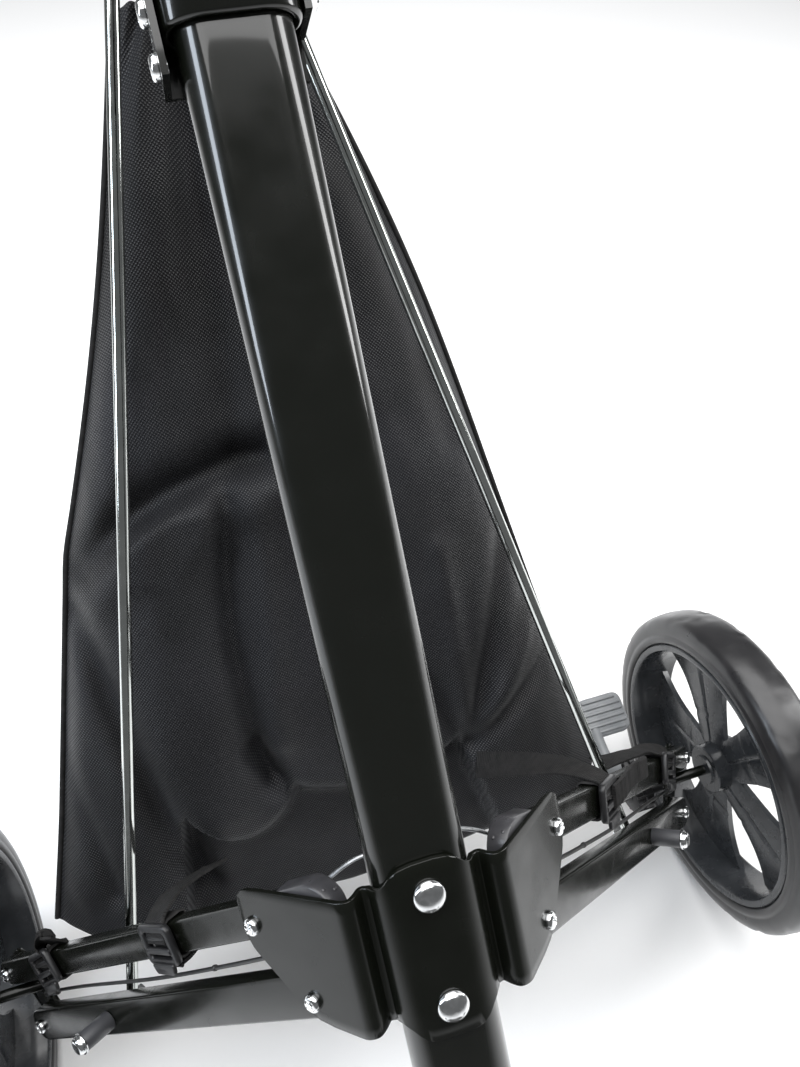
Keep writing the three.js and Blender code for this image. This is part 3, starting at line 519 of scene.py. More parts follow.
def recessed_head(place, axis, radius, height, segments=40, recess=True):
    """A pan head with a cross recess: a grid of rings whose middle is pressed in along two bars."""
    side = axis.orthogonal().normalized()
    other = axis.cross(side)
    spin = random.uniform(0, math.pi / 2)
    rings = []
    profile = [(0, 1.0), (0.35, 1.0), (0.62, 0.95), (0.8, 0.86), (0.9, 0.75), (0.96, 0.64), (0.98, 0.56),
               (0.99, 0.48), (1.0, 0.4), (1.0, 0.32), (1.0, 0.24), (1.0, 0.16), (1.0, 0.08), (1.0, 0.01)]
    for level, share in profile:
        ring = []
        for i in range(segments):
            t = 2 * math.pi * i / segments
            x, y = share * math.cos(t + spin), share * math.sin(t + spin)
            depth = 0.0
            if recess:
                bar = min(abs(x), abs(y))
                run = max(abs(x), abs(y))
                wall = max(0.0, min(1.0, (0.17 - bar) / 0.05))
                tip = max(0.0, min(1.0, (0.62 - run) / 0.12))
                depth = 0.55 * wall * tip
            ring.append(place + MM * ((level - depth) * height * axis
                                      + radius * share * (math.cos(t) * side + math.sin(t) * other)))
        rings.append(ring)
    return loft(rings)


def hex_nut(place, axis, across, height):
    """A hexagonal nut with chamfered corners, starting at place and growing along axis."""
    corner = across / math.cos(math.pi / 6)
    rings = []
    for level, round_off in [(0, 0.93), (0.12, 1), (0.88, 1), (1, 0.93)]:
        ring = []
        for i, ray in enumerate(rays_around(axis, 24)):
            t = 2 * math.pi * i / 24
            hexagon = across / max(math.cos((t % (math.pi / 3)) - math.pi / 6), 0.5)
            radius = min(hexagon, corner * round_off)
            ring.append(place + MM * (level * height * axis + radius * ray))
        rings.append(ring)
    return loft(rings)


# ---------------------------------------------------------------- main tube and centre bracket
TUBE = {"width": 50, "depth": 28, "wall": 2, "bottom": -345, "top": 572}
tube_outer = flat_oval(TUBE["width"], TUBE["depth"])
tube_inner = flat_oval(TUBE["width"] - 2 * TUBE["wall"], TUBE["depth"] - 2 * TUBE["wall"])
piece("main_tube_skin", *tube_bar(tube_outer, tube_inner, tube_point(0, TUBE["bottom"], 0),
      tube_point(0, TUBE["top"], 0), ACROSS, OUT), "black_paint", "cart_frame", ["main_tube"], sharp=50)

SHEET = 3
HUMP = TUBE["depth"] / 2 + 0.4 + SHEET / 2
HUMP_CENTRE = (TUBE["width"] - TUBE["depth"]) / 2


def bracket_section():
    """Half of the bracket's middle line as (x, n), from the tube's middle to the wing's tip."""
    def on_wing(o):
        m = 8
        return (PIVOT[0] + o * math.cos(SWEEP) + m * math.sin(SWEEP),
                PIVOT[2] - o * math.sin(SWEEP) + m * math.cos(SWEEP))
    arc = [(HUMP_CENTRE + HUMP * math.cos(math.radians(a)), HUMP * math.sin(math.radians(a)))
           for a in range(90, 17, -6)]
    ridge, root, tip = on_wing(-36), on_wing(-33), on_wing(52)
    corners = [(30.5, 2.4), (34, 7), (ridge[0] - 2.5, ridge[1] - 0.4), root]
    line = [(0, HUMP), (HUMP_CENTRE * 0.5, HUMP), *arc]
    chain = [arc[-1], *corners, tip]
    for i in range(1, len(chain) - 1):
        before, corner, after = (np.array(chain[i + k], float) for k in (-1, 0, 1))
        reach = min(2.2, 0.45 * np.linalg.norm(before - corner), 0.45 * np.linalg.norm(after - corner))
        start = corner + (before - corner) / np.linalg.norm(before - corner) * reach
        end = corner + (after - corner) / np.linalg.norm(after - corner) * reach
        for k in range(5):
            t = k / 4
            line.append(tuple((1 - t) ** 2 * start + 2 * t * (1 - t) * corner + t * t * end))
    line += [tuple(np.array(line[-1]) * (1 - t) + np.array(tip) * t) for t in spread(0.04, 1, 26)]
    return line


BRACKET_TOP = [(0, 47.5), (8, 47.5), (13, 46.3), (17, 43.6), (20, 39.6), (23, 36.9), (28, 36), (44, 35),
               (80, 29.6), (86, 28.2), (89.5, 26), (91.2, 23), (91.8, 18)]
BRACKET_BOTTOM = [(0, -47.5), (8, -47.5), (13, -46.3), (17, -43.6), (20, -40), (24, -37), (30, -37.8),
                  (44, -40.8), (56, -40.6), (63, -39.4), (68, -36.2), (87, -9.5),
                  (90, -4), (90.6, 2), (91.8, 18)]


def bracket():
    """The bent sheet: a grid of columns between its upper and lower edges, thickened to both sides."""
    section = bracket_section()
    top = np.array(BRACKET_TOP)
    bottom = np.array(BRACKET_BOTTOM)
    half = [p for p in section if p[0] < 91.8] + [(91.8, np.interp(91.8, *zip(*section)))]
    line = [(-x, n) for x, n in half[:0:-1]] + half
    rows = 14
    points = np.array(line)
    tangents = np.gradient(points, axis=0)
    normals = np.stack([-tangents[:, 1], tangents[:, 0]], 1)
    normals /= np.linalg.norm(normals, axis=1)[:, None]
    edge = [(1.0, 0.75), (0.75, 0.95), (0.0, 1.0), (-0.75, 0.95), (-1.0, 0.75)]
    rings = []
    for (x, n), normal in zip(points, normals):
        high = np.interp(abs(x), top[:, 0], top[:, 1])
        low = np.interp(abs(x), bottom[:, 0], bottom[:, 1])
        thin = 1.0 if abs(x) < 91.5 else 0.6
        ring = []
        levels = np.linspace(high - 0.5, low + 0.5, rows)
        for u in levels:
            ring.append((x + normal[0] * SHEET / 2 * thin, u, n + normal[1] * SHEET / 2 * thin))
        for share, out in edge[1:-1]:
            ring.append((x + normal[0] * SHEET / 2 * share * thin, low + 0.5 - 0.5 * out,
                         n + normal[1] * SHEET / 2 * share * thin))
        for u in levels[::-1]:
            ring.append((x - normal[0] * SHEET / 2 * thin, u, n - normal[1] * SHEET / 2 * thin))
        for share, out in edge[1:-1][::-1]:
            ring.append((x + normal[0] * SHEET / 2 * share * thin, high - 0.5 + 0.5 * out,
                         n + normal[1] * SHEET / 2 * share * thin))
        rings.append([tube_point(*p) for p in ring])
    return loft(rings)


piece("center_bracket_sheet", *bracket(), "black_paint", "cart_frame", ["center_bracket"], sharp=40,
      look=SHEET_PAINT)

DOME_PROFILE = [(0, 8.2), (0.5, 8.35), (1.3, 8.3), (2.2, 7.9), (3.1, 7.1), (3.9, 5.9), (4.5, 4.3),
                (4.85, 2.4), (5, 0)]
DOME_SEAT = HUMP + SHEET / 2 + 0.1
for label, u in (("upper", 30), ("lower", -30)):
    seat = tube_point(0, u, DOME_SEAT)
    dome = lathe(DOME_PROFILE, seat, OUT)
    shank = lathe([(-DOME_SEAT - 23.5, 0), (-DOME_SEAT - 23.3, 3.6), (0, 4)], seat, OUT, 20)
    nut = hex_nut(tube_point(0, u, -14.5), -OUT, 6.2, 6)
    piece(f"bracket_bolt_{label}_dome", *merge(dome, shank, nut), "bright_chrome", "cart_frame",
          [f"bracket_bolt_{label}"], sharp=30)


# ---------------------------------------------------------------- legs
def pan_bolt(name, node, place, axis, seat, back, body, head=5.0, height=3.3):
    parts = [recessed_head(place + MM * seat * axis, axis, head, height),
             lathe([(back - 6, 0), (back - 5.9, 2.8), (seat, 3)], place, axis, 20),
             hex_nut(place + MM * back * axis, -axis, 5, 4.4)]
    piece(name, *merge(*parts), "bright_chrome", body, [node], sharp=30)


WING_FACE = 6 + 0.5 + SHEET + 0.15
BAR_BACK = -6.4
HUB_SEAT = 6.4
HUB_BACK = -6.5 - 4 - 0.4
for label, side in SIDES.items():
    along, above, front = bar_axes(side)
    for which, inner, height in (("upper", -20, 20), ("lower", -15, 25)):
        half = height / 2
        outline = [(inner, -half)]
        outline += [(LEG_LENGTH + half * math.cos(t), half * math.sin(t))
                    for t in spread(-math.pi / 2, math.pi / 2, 17)]
        outline.append((inner, half))
        bar = plate(outline, bar_point(side, which == "upper", 0, 0, 0), along, above, front, -6, 6, 1.8)
        piece(f"{label}_{which}_bar_tube", *bar, "black_paint", f"{label}_{which}_link",
              [f"{label}_{which}_bar"], sharp=50, look=SHEET_PAINT)
    for which, point in (("upper", (*UPPER_PIVOT, 0)), ("lower", (0, 0, 0))):
        pan_bolt(f"{label}_{which}_pivot_screw", f"{label}_{which}_pivot_bolt",
                 leg_point(side, *point), front, WING_FACE, BAR_BACK, "cart_frame")
        pan_bolt(f"{label}_{which}_hub_screw", f"{label}_hub_bolt_{which}",
                 bar_point(side, which == "upper", LEG_LENGTH, 0, 0), front, HUB_SEAT, HUB_BACK,
                 f"{label}_hub")

    # The nose cap: rounded over at its end, with two small rivets.
    nose = [(-20.2, -11), (-20.2, 11), (-26, 13), (-47, 13)]
    nose += [(-47 - 14 * math.sin(t), -1 + 14 * math.cos(t)) for t in spread(0.1, math.pi / 2, 9)]
    nose += [(-60.4, -6.5), (-58.6, -10), (-54, -11.5)]
    cap = plate(nose, bar_point(side, True, 0, 0, 0), along, above, front, -6, 6, 1.2)
    rivets = []
    for t, ahead in ((0.95, 2.6), (1.2, -2.4)):
        spot = bar_point(side, True, -47 - 14.0 * math.sin(t), -1 + 14.0 * math.cos(t), ahead)
        ray = -math.sin(t) * along + math.cos(t) * above
        rivets.append(lathe([(-0.4, 1.1), (0.3, 1.0), (0.55, 0.5), (0.6, 0)], spot, ray, 14))
    piece(f"{label}_nose_cap", *merge(cap, *rivets), "black_plastic", f"{label}_upper_link",
          [f"{label}_upper_bar_cap"], sharp=45, look=CAP_GREY)

    # The strut: an eye on its bolt, a straight rod and the hooked end.
    top = tube_point(side * STRUT_TOP[0], *STRUT_TOP[1:])
    foot = bar_point(side, False, STRUT_ALONG, 0, -13)
    strut_node = f"{label}_strut"
    rod = sweep_path([foot, foot.lerp(top, 0.3), foot.lerp(top, 0.65),
                      top - (top - foot).normalized() * 0.006, top - front * 0.005,
                      top - front * 0.0105], 4, 24, 6)
    eye = lathe([(-3.9, 0), (-3.9, 7.2), (-3.2, 8), (4.2, 8), (4.9, 7.2), (4.9, 0)], foot, front, 32)
    washer = lathe([(0, 0), (0, 7.7), (0.4, 8), (1.6, 8), (2, 7.7), (2, 0)],
                   top - front * 0.0119, front, 32)
    piece(f"{label}_strut_rod_bar", *merge(rod, eye, washer), "black_chrome", f"{label}_strut_rod",
          [strut_node], sharp=50)

    # The strut's long bolt with its spacer.
    centre = bar_point(side, False, STRUT_ALONG, 0, 0)
    spacer = lathe([(6.4, 0), (6.4, 6.1), (7, 6.5), (28, 6.5), (29, 6.0), (29, 0)], centre, front, 32)
    head = recessed_head(centre + MM * 28.9 * front, front, 6.2, 4.6, recess=False)
    flange = lathe([(28.6, 0), (28.6, 7.2), (29.2, 7.4), (29.9, 7.2), (30.2, 0)], centre, front, 32)
    shank = lathe([(-23.5, 0), (-23.4, 2.9), (7, 3)], centre, front, 20)
    nut = hex_nut(centre - MM * 18.1 * front, -front, 5, 4.4)
    piece(f"{label}_strut_long_bolt", *merge(flange, head, shank, nut), "bright_chrome",
          f"{label}_lower_link", [f"{label}_strut_bolt"], sharp=30)
    piece(f"{label}_strut_spacer", *spacer, "grey_plastic", f"{label}_lower_link", sharp=40)

# ---------------------------------------------------------------- wheels
TREAD_GROOVES = 18
SPOKES = 5


def tyre_mesh(radius, rim_radius, width, hub, axis):
    """A fat tyre with a stepped side wall; shallow curved grooves cross its shoulders."""
    outline = [(2.6, rim_radius + 0.5), (0.8, rim_radius + 1.6), (0.1, rim_radius + 4), (0, rim_radius + 7),
               (1.3, rim_radius + 8.2), (1.0, rim_radius + 10), (0.9, radius - 12), (1.8, radius - 7.6),
               (3.6, radius - 4.4), (6.5, radius - 2.3), (11, radius - 0.9), (width * 0.5 - 4, radius - 0.15),
               (width / 2, radius)]
    outline += [(width - a, r) for a, r in outline[-2::-1]]
    segments = 180
    rings = []
    for i, ray in enumerate(rays_around(axis, segments)):
        t = 2 * math.pi * i / segments
        ring = []
        for a, r in outline:
            offset = a - width / 2
            sway = t * TREAD_GROOVES / 2 + 2.4 * abs(offset) / (width / 2)
            line = abs((sway / math.pi) % 1 - 0.5) * 2
            on_shoulder = 0 < width / 2 - abs(offset) < width / 2 - 3 and r > radius - 6
            groove = 1.7 * max(0.0, 1 - line / 0.2) if on_shoulder else 0.0
            ring.append(hub + MM * (a * axis + (r - groove) * ray))
        rings.append(ring)
    return loft(rings, closed=True)


def spoke_mesh(hub, axis, angle, reach, face, thickness, dish):
    """One broad spoke that flares to the rim, with a groove down its middle and one across its root."""
    side = Vector((0, 0, 1)) if abs(axis.z) < 0.9 else Vector((0, 1, 0))
    other = axis.cross(side)
    ray = math.cos(angle) * side + math.sin(angle) * other
    flank = axis.cross(ray)
    rings = []
    for k in range(29):
        share = k / 28
        r = 12 + (reach - 12) * share
        half = 17 + 0.12 * reach * share + 0.3 * reach * share ** 4
        bulge = face + dish * (1 - share) ** 1.4
        ring = []
        for w in spread(-1, 1, 25):
            groove = 1.3 * max(0.0, 1 - abs(w) / 0.07) * (1 if 0.1 < share < 0.8 else 0)
            cross_line = 1.0 * max(0.0, 1 - abs(share - 0.36) / 0.03)
            crown = 2.6 * (1 - w * w) * (1 - 0.5 * share)
            ring.append((w * half, bulge - crown + groove + cross_line))
        for w in spread(1, -1, 13):
            ring.append((w * (half - 0.8), bulge + thickness * (1 - 0.35 * w * w)))
        rings.append([hub + MM * (r * ray + w * flank + a * axis) for w, a in ring])
    return loft(rings)


def rim_mesh(rim_radius, width, hub, axis, hub_from, hub_to, spoke_face, dish, phase):
    inner = rim_radius - 7
    barrel = closed_lathe([(2, rim_radius), (0.7, rim_radius - 1), (0.7, inner + 3), (1.4, inner + 1),
                           (3, inner), (width * 0.4, inner - 1.2), (width - 3, inner - 3),
                           (width - 1.4, inner - 2), (width - 1, rim_radius - 1),
                           (width - 2, rim_radius)], hub, axis, 120)
    boss = lathe([(hub_from, 6), (hub_from, 21), (hub_from + 1, 22), (spoke_face + 1, 23.5), (hub_to - 4, 24),
                  (hub_to - 1, 22.5), (hub_to, 19), (hub_to, 6)], hub, axis, 64)
    collar_ring = lathe([(hub_from - 2, 6), (hub_from - 2, 13), (hub_from + 2, 14.5), (hub_from + 3, 6)],
                        hub, axis, 48)
    spokes = [spoke_mesh(hub, axis, phase + i * 2 * math.pi / SPOKES, inner - 1.5, spoke_face, 8, dish)
              for i in range(SPOKES)]
    return merge(barrel, boss, collar_ring, *spokes)


RIM_TURN = math.radians(20)
WHEEL = {"radius": 146, "rim": 120, "width": 44, "inner": 305.7, "u": -133.5, "n": -276.6}
for label, side in SIDES.items():
    axis = side * ACROSS
    hub_place = tube_point(side * WHEEL["inner"], WHEEL["u"], WHEEL["n"])
    tyre = tyre_mesh(WHEEL["radius"], WHEEL["rim"], WHEEL["width"], hub_place, axis)
    piece(f"{label}_tyre_tread", *tyre, "tyre_rubber", f"{label}_wheel", [f"{label}_tire"], sharp=60)
    rim = rim_mesh(WHEEL["rim"], WHEEL["width"], hub_place, axis, 9, WHEEL["width"] - 2, 30, -8,
                   RIM_TURN * side)
    piece(f"{label}_spoked_rim", *rim, "grey_plastic", f"{label}_wheel", [f"{label}_rim"], sharp=35,
          look=RIM_GREY)

front_low, front_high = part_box("front_tire")
front_hub = Vector((front_low.x, (front_low.y + front_high.y) / 2, (front_low.z + front_high.z) / 2))
piece("front_tyre_tread", *tyre_mesh(120, 95, 40, front_hub, ACROSS), "tyre_rubber", "front_wheel",
      ["front_tire"], sharp=60)
piece("front_spoked_rim", *rim_mesh(95, 40, front_hub, ACROSS, -2, 42, 15, 0, 0.3), "grey_plastic",
      "front_wheel", ["front_rim"], sharp=35, look=RIM_GREY)

# ---------------------------------------------------------------- hub brackets and brake
AXLE = (WHEEL["u"], WHEEL["n"])
REARWARDS = (UP * math.sin(LEAN) - OUT * math.cos(LEAN)).normalized()
SKYWARDS = (UP * math.cos(LEAN) + OUT * math.sin(LEAN)).normalized()


def at_axle(x, back=0.0, up=0.0):
    """A point measured straight back and straight up from the wheels' axis."""
    return tube_point(x, *AXLE) + MM * (back * REARWARDS + up * SKYWARDS)


def hull_outline(discs, steps=40):
    """The outline round several discs (x, y, radius), as a stretched band would lie."""
    outline = []
    for i in range(steps):
        t = 2 * math.pi * i / steps
        c, s = math.cos(t), math.sin(t)
        x, y, r = max(discs, key=lambda d: d[0] * c + d[1] * s + d[2])
        outline.append((x + r * c, y + r * s))
    return outline


for label, side in SIDES.items():
    outward, up, front = leg_axes(side)
    c, s = math.cos(DROOP), math.sin(DROOP)
    lower_hub = (LEG_LENGTH * c, -LEG_LENGTH * s)
    upper_hub = (lower_hub[0] + UPPER_PIVOT[0], lower_hub[1] + UPPER_PIVOT[1])
    axle_spot = at_axle(side * 275) - leg_point(side, 0, 0, 0)
    axle_disc = (axle_spot.dot(outward) / MM + 4, axle_spot.dot(up) / MM - 10, 12)
    outline = hull_outline([(*lower_hub, 12), (*upper_hub, 12), axle_disc])
    cheek = plate(outline, leg_point(side, 0, 0, 0), outward, up, front, -10.5, -6.5, 0.8)
    stub = lathe([(0, 0), (0.4, 4.1), (1, 4.5), (86.5, 4.5), (87, 0)],
                 at_axle(side * 270), side * ACROSS, 28)
    piece(f"{label}_hub_cheek", *merge(cheek, stub), "black_paint", f"{label}_hub",
          [f"{label}_hub_bracket"], sharp=40, look=SHEET_PAINT)
    cap_profile = [(0, 10.6), (0.4, 11.6), (1.2, 12), (5.5, 11.4), (7.6, 10.2), (9.4, 8), (10.4, 5),
                   (10.9, 2.2), (11, 0)]
    dust_cap = lathe(cap_profile, at_axle(side * 356.1), side * ACROSS, 48)
    piece(f"{label}_hub_dust_cap", *dust_cap, "black_plastic", f"{label}_hub", [f"{label}_hub_cap"],
          sharp=50)

HOUSING_INNER = 236
housing = [lathe([(0, 0), (0, 14.5), (1.2, 16.6), (3, 17), (7, 17), (7.8, 16), (9.4, 16), (10.2, 17),
                  (16, 17), (17.4, 16), (18, 14), (18, 0)], at_axle(HOUSING_INNER), ACROSS, 56),
           lathe([(-1.6, 0), (-1.6, 8), (-0.8, 9), (0, 9.2)], at_axle(HOUSING_INNER), ACROSS, 40),
           sweep_path([at_axle(252, -1, -2), at_axle(268)], 5.8, 24, 2),
           straight_bar(rounded_rectangle(12, 10, 3), at_axle(248, 8), at_axle(248, 27), ACROSS, SKYWARDS),
           lathe([(0, 0), (0, 7.2), (0.8, 8), (5.2, 8), (6, 7.2), (6, 0)], at_axle(248, 27), ACROSS, 36),
           lathe([(0, 0), (0.3, 2.6), (32, 3)], at_axle(222, 27), ACROSS, 20)]
for k in range(7):
    t = math.radians(-60 + 28 * k)
    rib_at = at_axle(HOUSING_INNER + 1, -16.6 * math.cos(t), 16.6 * math.sin(t))
    rib_end = rib_at + 16 * MM * ACROSS
    housing.append(straight_bar(rounded_rectangle(2.2, 2.2, 0.8), rib_at, rib_end, UP, OUT, 0.6))
piece("brake_drum_housing", *merge(*housing), "black_plastic", "right_hub", ["right_brake_housing"], sharp=40)

PEDAL_X = HOUSING_INNER - 3
PAD_TILT = math.radians(14)
pad_back = math.cos(PAD_TILT) * REARWARDS + math.sin(PAD_TILT) * SKYWARDS
pad_up = ACROSS.cross(pad_back)
pad_up = pad_up if pad_up.dot(SKYWARDS) > 0 else -pad_up
pad_centre = at_axle(PEDAL_X + 16, 78, -2)
pad_outline = round_corners([(-23, -19), (23, -19), (23, 19), (-23, 19)], 9, 6)
pedal = [plate(pad_outline, pad_centre, ACROSS, pad_back, pad_up, -4.5, 4.5, 2.0)]
for k in range(6):
    row = pad_centre + MM * ((k - 2.5) * 5.9 * pad_back + 4.6 * pad_up)
    half = 20.5 if 0 < k < 5 else 17.5
    reach = half * MM * ACROSS
    pedal.append(straight_bar(rounded_rectangle(3.0, 3.0, 1.2), row - reach, row + reach,
                              pad_back, pad_up, 1.2))
pedal.append(sweep_path([at_axle(PEDAL_X, 27), at_axle(PEDAL_X, 45, -1), at_axle(PEDAL_X + 3, 66, -4)],
                        5.5, 20, 5))
pedal.append(lathe([(-7, 0), (-7, 7.2), (-6.2, 8), (6.2, 8), (7, 7.2), (7, 0)],
                   at_axle(PEDAL_X, 27), ACROSS, 32))
piece("brake_pedal_pad", *merge(*pedal), "grey_plastic", "brake_lever", ["brake_pedal"], sharp=45,
      look=PEDAL_GREY)


def cable_point(side, along, lift=0.0):
    return leg_point(side, UPPER_PIVOT[0] / 2, UPPER_PIVOT[1] / 2, 0) + MM * (
        along * bar_axes(side)[0] + lift * UP)


for label, side in SIDES.items():
    route = [cable_point(side, 2), cable_point(side, 60, -2), cable_point(side, 150, -3),
             cable_point(side, 250), cable_point(side, 318)]
    wire = sweep_path(route, 1.25, 12, 10)
    along_axis = bar_axes(side)[0]
    ferrule = lathe([(0, 0), (0, 1.6), (0.3, 1.8), (2.2, 1.8), (2.5, 1.6), (2.5, 0)],
                    cable_point(side, 78, -2.2), along_axis, 16)
    end_sleeve = lathe([(0, 0), (0.6, 2.4), (20, 2.6), (21, 1.6), (21, 0)],
                       cable_point(side, 296, -0.6), along_axis, 20)
    piece(f"{label}_brake_wire", *merge(wire, ferrule, end_sleeve), "zinc_steel", f"{label}_cable",
          [f"{label}_brake_cable"], sharp=60, look=CABLE_BLACK)

# ---------------------------------------------------------------- collar
COLLAR = {"bottom": 420, "top": 566, "wall": 4.5}


def collar_mesh():
    width, depth, wall = TUBE["width"], TUBE["depth"], COLLAR["wall"]
    rings = []
    low, high = COLLAR["bottom"], COLLAR["top"]
    for u, grow in [(low + 1.4, 0.4), (low + 0.3, 1.2), (low, 2.4), (low + 0.4, wall - 0.9),
                    (low + 1.8, wall), (high - 1.8, wall), (high - 0.4, wall - 0.9), (high, 2.4),
                    (high - 1.4, 0.4)]:
        rings.append([tube_point(x, u, n) for x, n in flat_oval(width + 2 * grow, depth + 2 * grow, 32)])
    return loft(rings, closed=True)


piece("collar_sleeve", *collar_mesh(), "black_paint", "sliding_collar", ["collar"], sharp=45)
CHEEK_FACE = 25 + 4.5 + 0.4 + SHEET + 0.2
for label, u in (("upper", 434), ("lower", 413)):
    parts = [recessed_head(tube_point(-CHEEK_FACE, u, -9), -ACROSS, 5.6, 3.4),
             lathe([(0, 0), (0.2, 3), (4, 3), (4, 0)], tube_point(-CHEEK_FACE, u, -9), ACROSS, 20)]
    if label == "upper":
        parts.append(hex_nut(tube_point(CHEEK_FACE, u, -9), ACROSS, 6, 5))
        parts.append(lathe([(0, 0), (0, 3), (6.6, 3), (7.2, 2.4), (7.2, 0)],
                           tube_point(CHEEK_FACE, u, -9), ACROSS, 20))
    piece(f"collar_screw_{label}", *merge(*parts), "bright_chrome", "sliding_collar",
          [f"collar_bolt_{label}"], sharp=30)

# ---------------------------------------------------------------- storage bag
BAG_BOTTOM, BAG_TOP = -62, 498
# Half widths at the foot, the waist and the head, and how far the edge above the waist bows out.
BAG_EDGES = {
    "left": {"foot": 242, "waist": 160, "waist_u": 200, "head": 46, "bow": -6},
    "right": {"foot": 202, "waist": 135, "waist_u": 230, "head": 46, "bow": 8},
}
BELLY_DEPTH = 112
HEAD_DEPTH = 20
CORNER_DROP = 8
MIDDLE_DROP = 44
# The pouch's lower edge hangs in two swags: middle, half width, lowest point and height of its ends.
SWAGS = [(-88, 42, -34, -2), (16, 62, -20, -6)]
TUCKED_AWAY = -130
FOLD_DEPTH = 1.25
FOLDS = [  # rise, half width, start and end as (x, u), and the sag between them
    (-13, 13, (-150, 190), (-20, 240), 12),
    (8, 16, (-150, 170), (-20, 215), 10),
    (9, 22, (-25, 460), (-150, 205), 8),
    (-6, 12, (-20, 460), (-35, 250), 0),
    (9, 30, (-90, 190), (-105, 0), 0),
    (-8, 8, (-50, 215), (-65, 10), -10),
    (5, 10, (-30, 200), (-50, 40), 0),
    (-9, 9, (-70, 40), (-55, 0), 0),
    (-12, 11, (-165, 160), (-130, -70), 0),
    (7, 15, (-170, 150), (-220, -40), 0),
    (-5, 7, (-205, 95), (-190, -50), 0),
    (6, 26, (50, 380), (70, 120), 0),
    (-4, 9, (85, 380), (110, 220), 0),
]
# Creases fan out from where the right inner strap pulls on the bag.
TIE = (85, -10)
FAN = {"count": 5, "first": math.radians(110), "step": math.radians(-20), "length": 160}
for k in range(FAN["count"]):
    turn = FAN["first"] + k * FAN["step"]
    tip = (TIE[0] + FAN["length"] * math.cos(turn), TIE[1] + FAN["length"] * math.sin(turn))
    FOLDS.append((-7 if k % 2 == 0 else 5, 9, TIE, tip, 0))


def sagging_line(start, end, sag, steps=8):
    """Points of a shallow arc that leaves the straight line by sag at its middle."""
    (x0, u0), (x1, u1) = start, end
    length = math.hypot(x1 - x0, u1 - u0)
    line = []
    for i in range(steps + 1):
        t = i / steps
        off = 4 * sag * t * (1 - t) / length
        line.append((x0 + (x1 - x0) * t - (u1 - u0) * off, u0 + (u1 - u0) * t + (x1 - x0) * off))
    return line


def bag_half_width(edge, u):
    """Straight from foot to waist, then in to the head with a slight bow."""
    below = np.clip((u - BAG_BOTTOM) / (edge["waist_u"] - BAG_BOTTOM), -0.2, 1)
    above = np.clip((u - edge["waist_u"]) / (BAG_TOP - edge["waist_u"]), 0, 1)
    lower = edge["foot"] + (edge["waist"] - edge["foot"]) * below
    return lower + (edge["head"] - edge["waist"]) * above + edge["bow"] * np.sin(math.pi * above)


def bag_depth(u):
    """Deepest at the belly, thinning to the head and a little to the foot."""
    rise = np.clip(u / BAG_TOP, 0, 1)
    return HEAD_DEPTH + (BELLY_DEPTH - HEAD_DEPTH) * (1 - rise ** 1.6) + 0.3 * np.minimum(u, 0)


def pouch_edge(x):
    """Height of the pouch's lower edge, out of the way beyond its two swags."""
    edge = np.full(x.shape, float(TUCKED_AWAY))
    for middle, half, low, high in SWAGS:
        across = np.abs(x - middle) / half
        swag = low + (high - low) * across ** 2
        beyond = high + (TUCKED_AWAY - high) * np.clip((across - 1) / 0.5, 0, 1)
        edge = np.maximum(edge, np.where(across < 1, swag, beyond))
    return edge


def fold_height(x, u, points, half_width):
    """1 on the fold's line, falling off smoothly to both sides and past its ends."""
    nearest = np.full(x.shape, 1e9)
    for (x0, u0), (x1, u1) in zip(points, points[1:]):
        dx, du = x1 - x0, u1 - u0
        t = np.clip(((x - x0) * dx + (u - u0) * du) / (dx * dx + du * du), 0, 1)
        nearest = np.minimum(nearest, np.hypot(x - x0 - t * dx, u - u0 - t * du))
    return np.exp(-(nearest / half_width) ** 2)


def crumple(x, u, seed):
    """Fine creases and slackness of the cloth, in millimetres."""
    height = np.zeros(x.shape)
    for index in np.ndindex(x.shape):
        px, pu = float(x[index]), float(u[index])
        place = Vector((px / 46 + seed, pu / 80, seed))
        fine = Vector((px / 17 + seed, pu / 30, 2 * seed))
        height[index] = 2.4 * noise.noise(place) + 0.9 * noise.noise(fine) * (1 - 0.4 * math.sin(pu / 60))
    return height


ROD_PLANE = {"n": -210.4, "u": -113, "lean": 0.12}


def bag_front_plane(u):
    """The bag hangs just behind the leaning plane of the two strut rods."""
    return ROD_PLANE["n"] + ROD_PLANE["lean"] * (u - ROD_PLANE["u"])


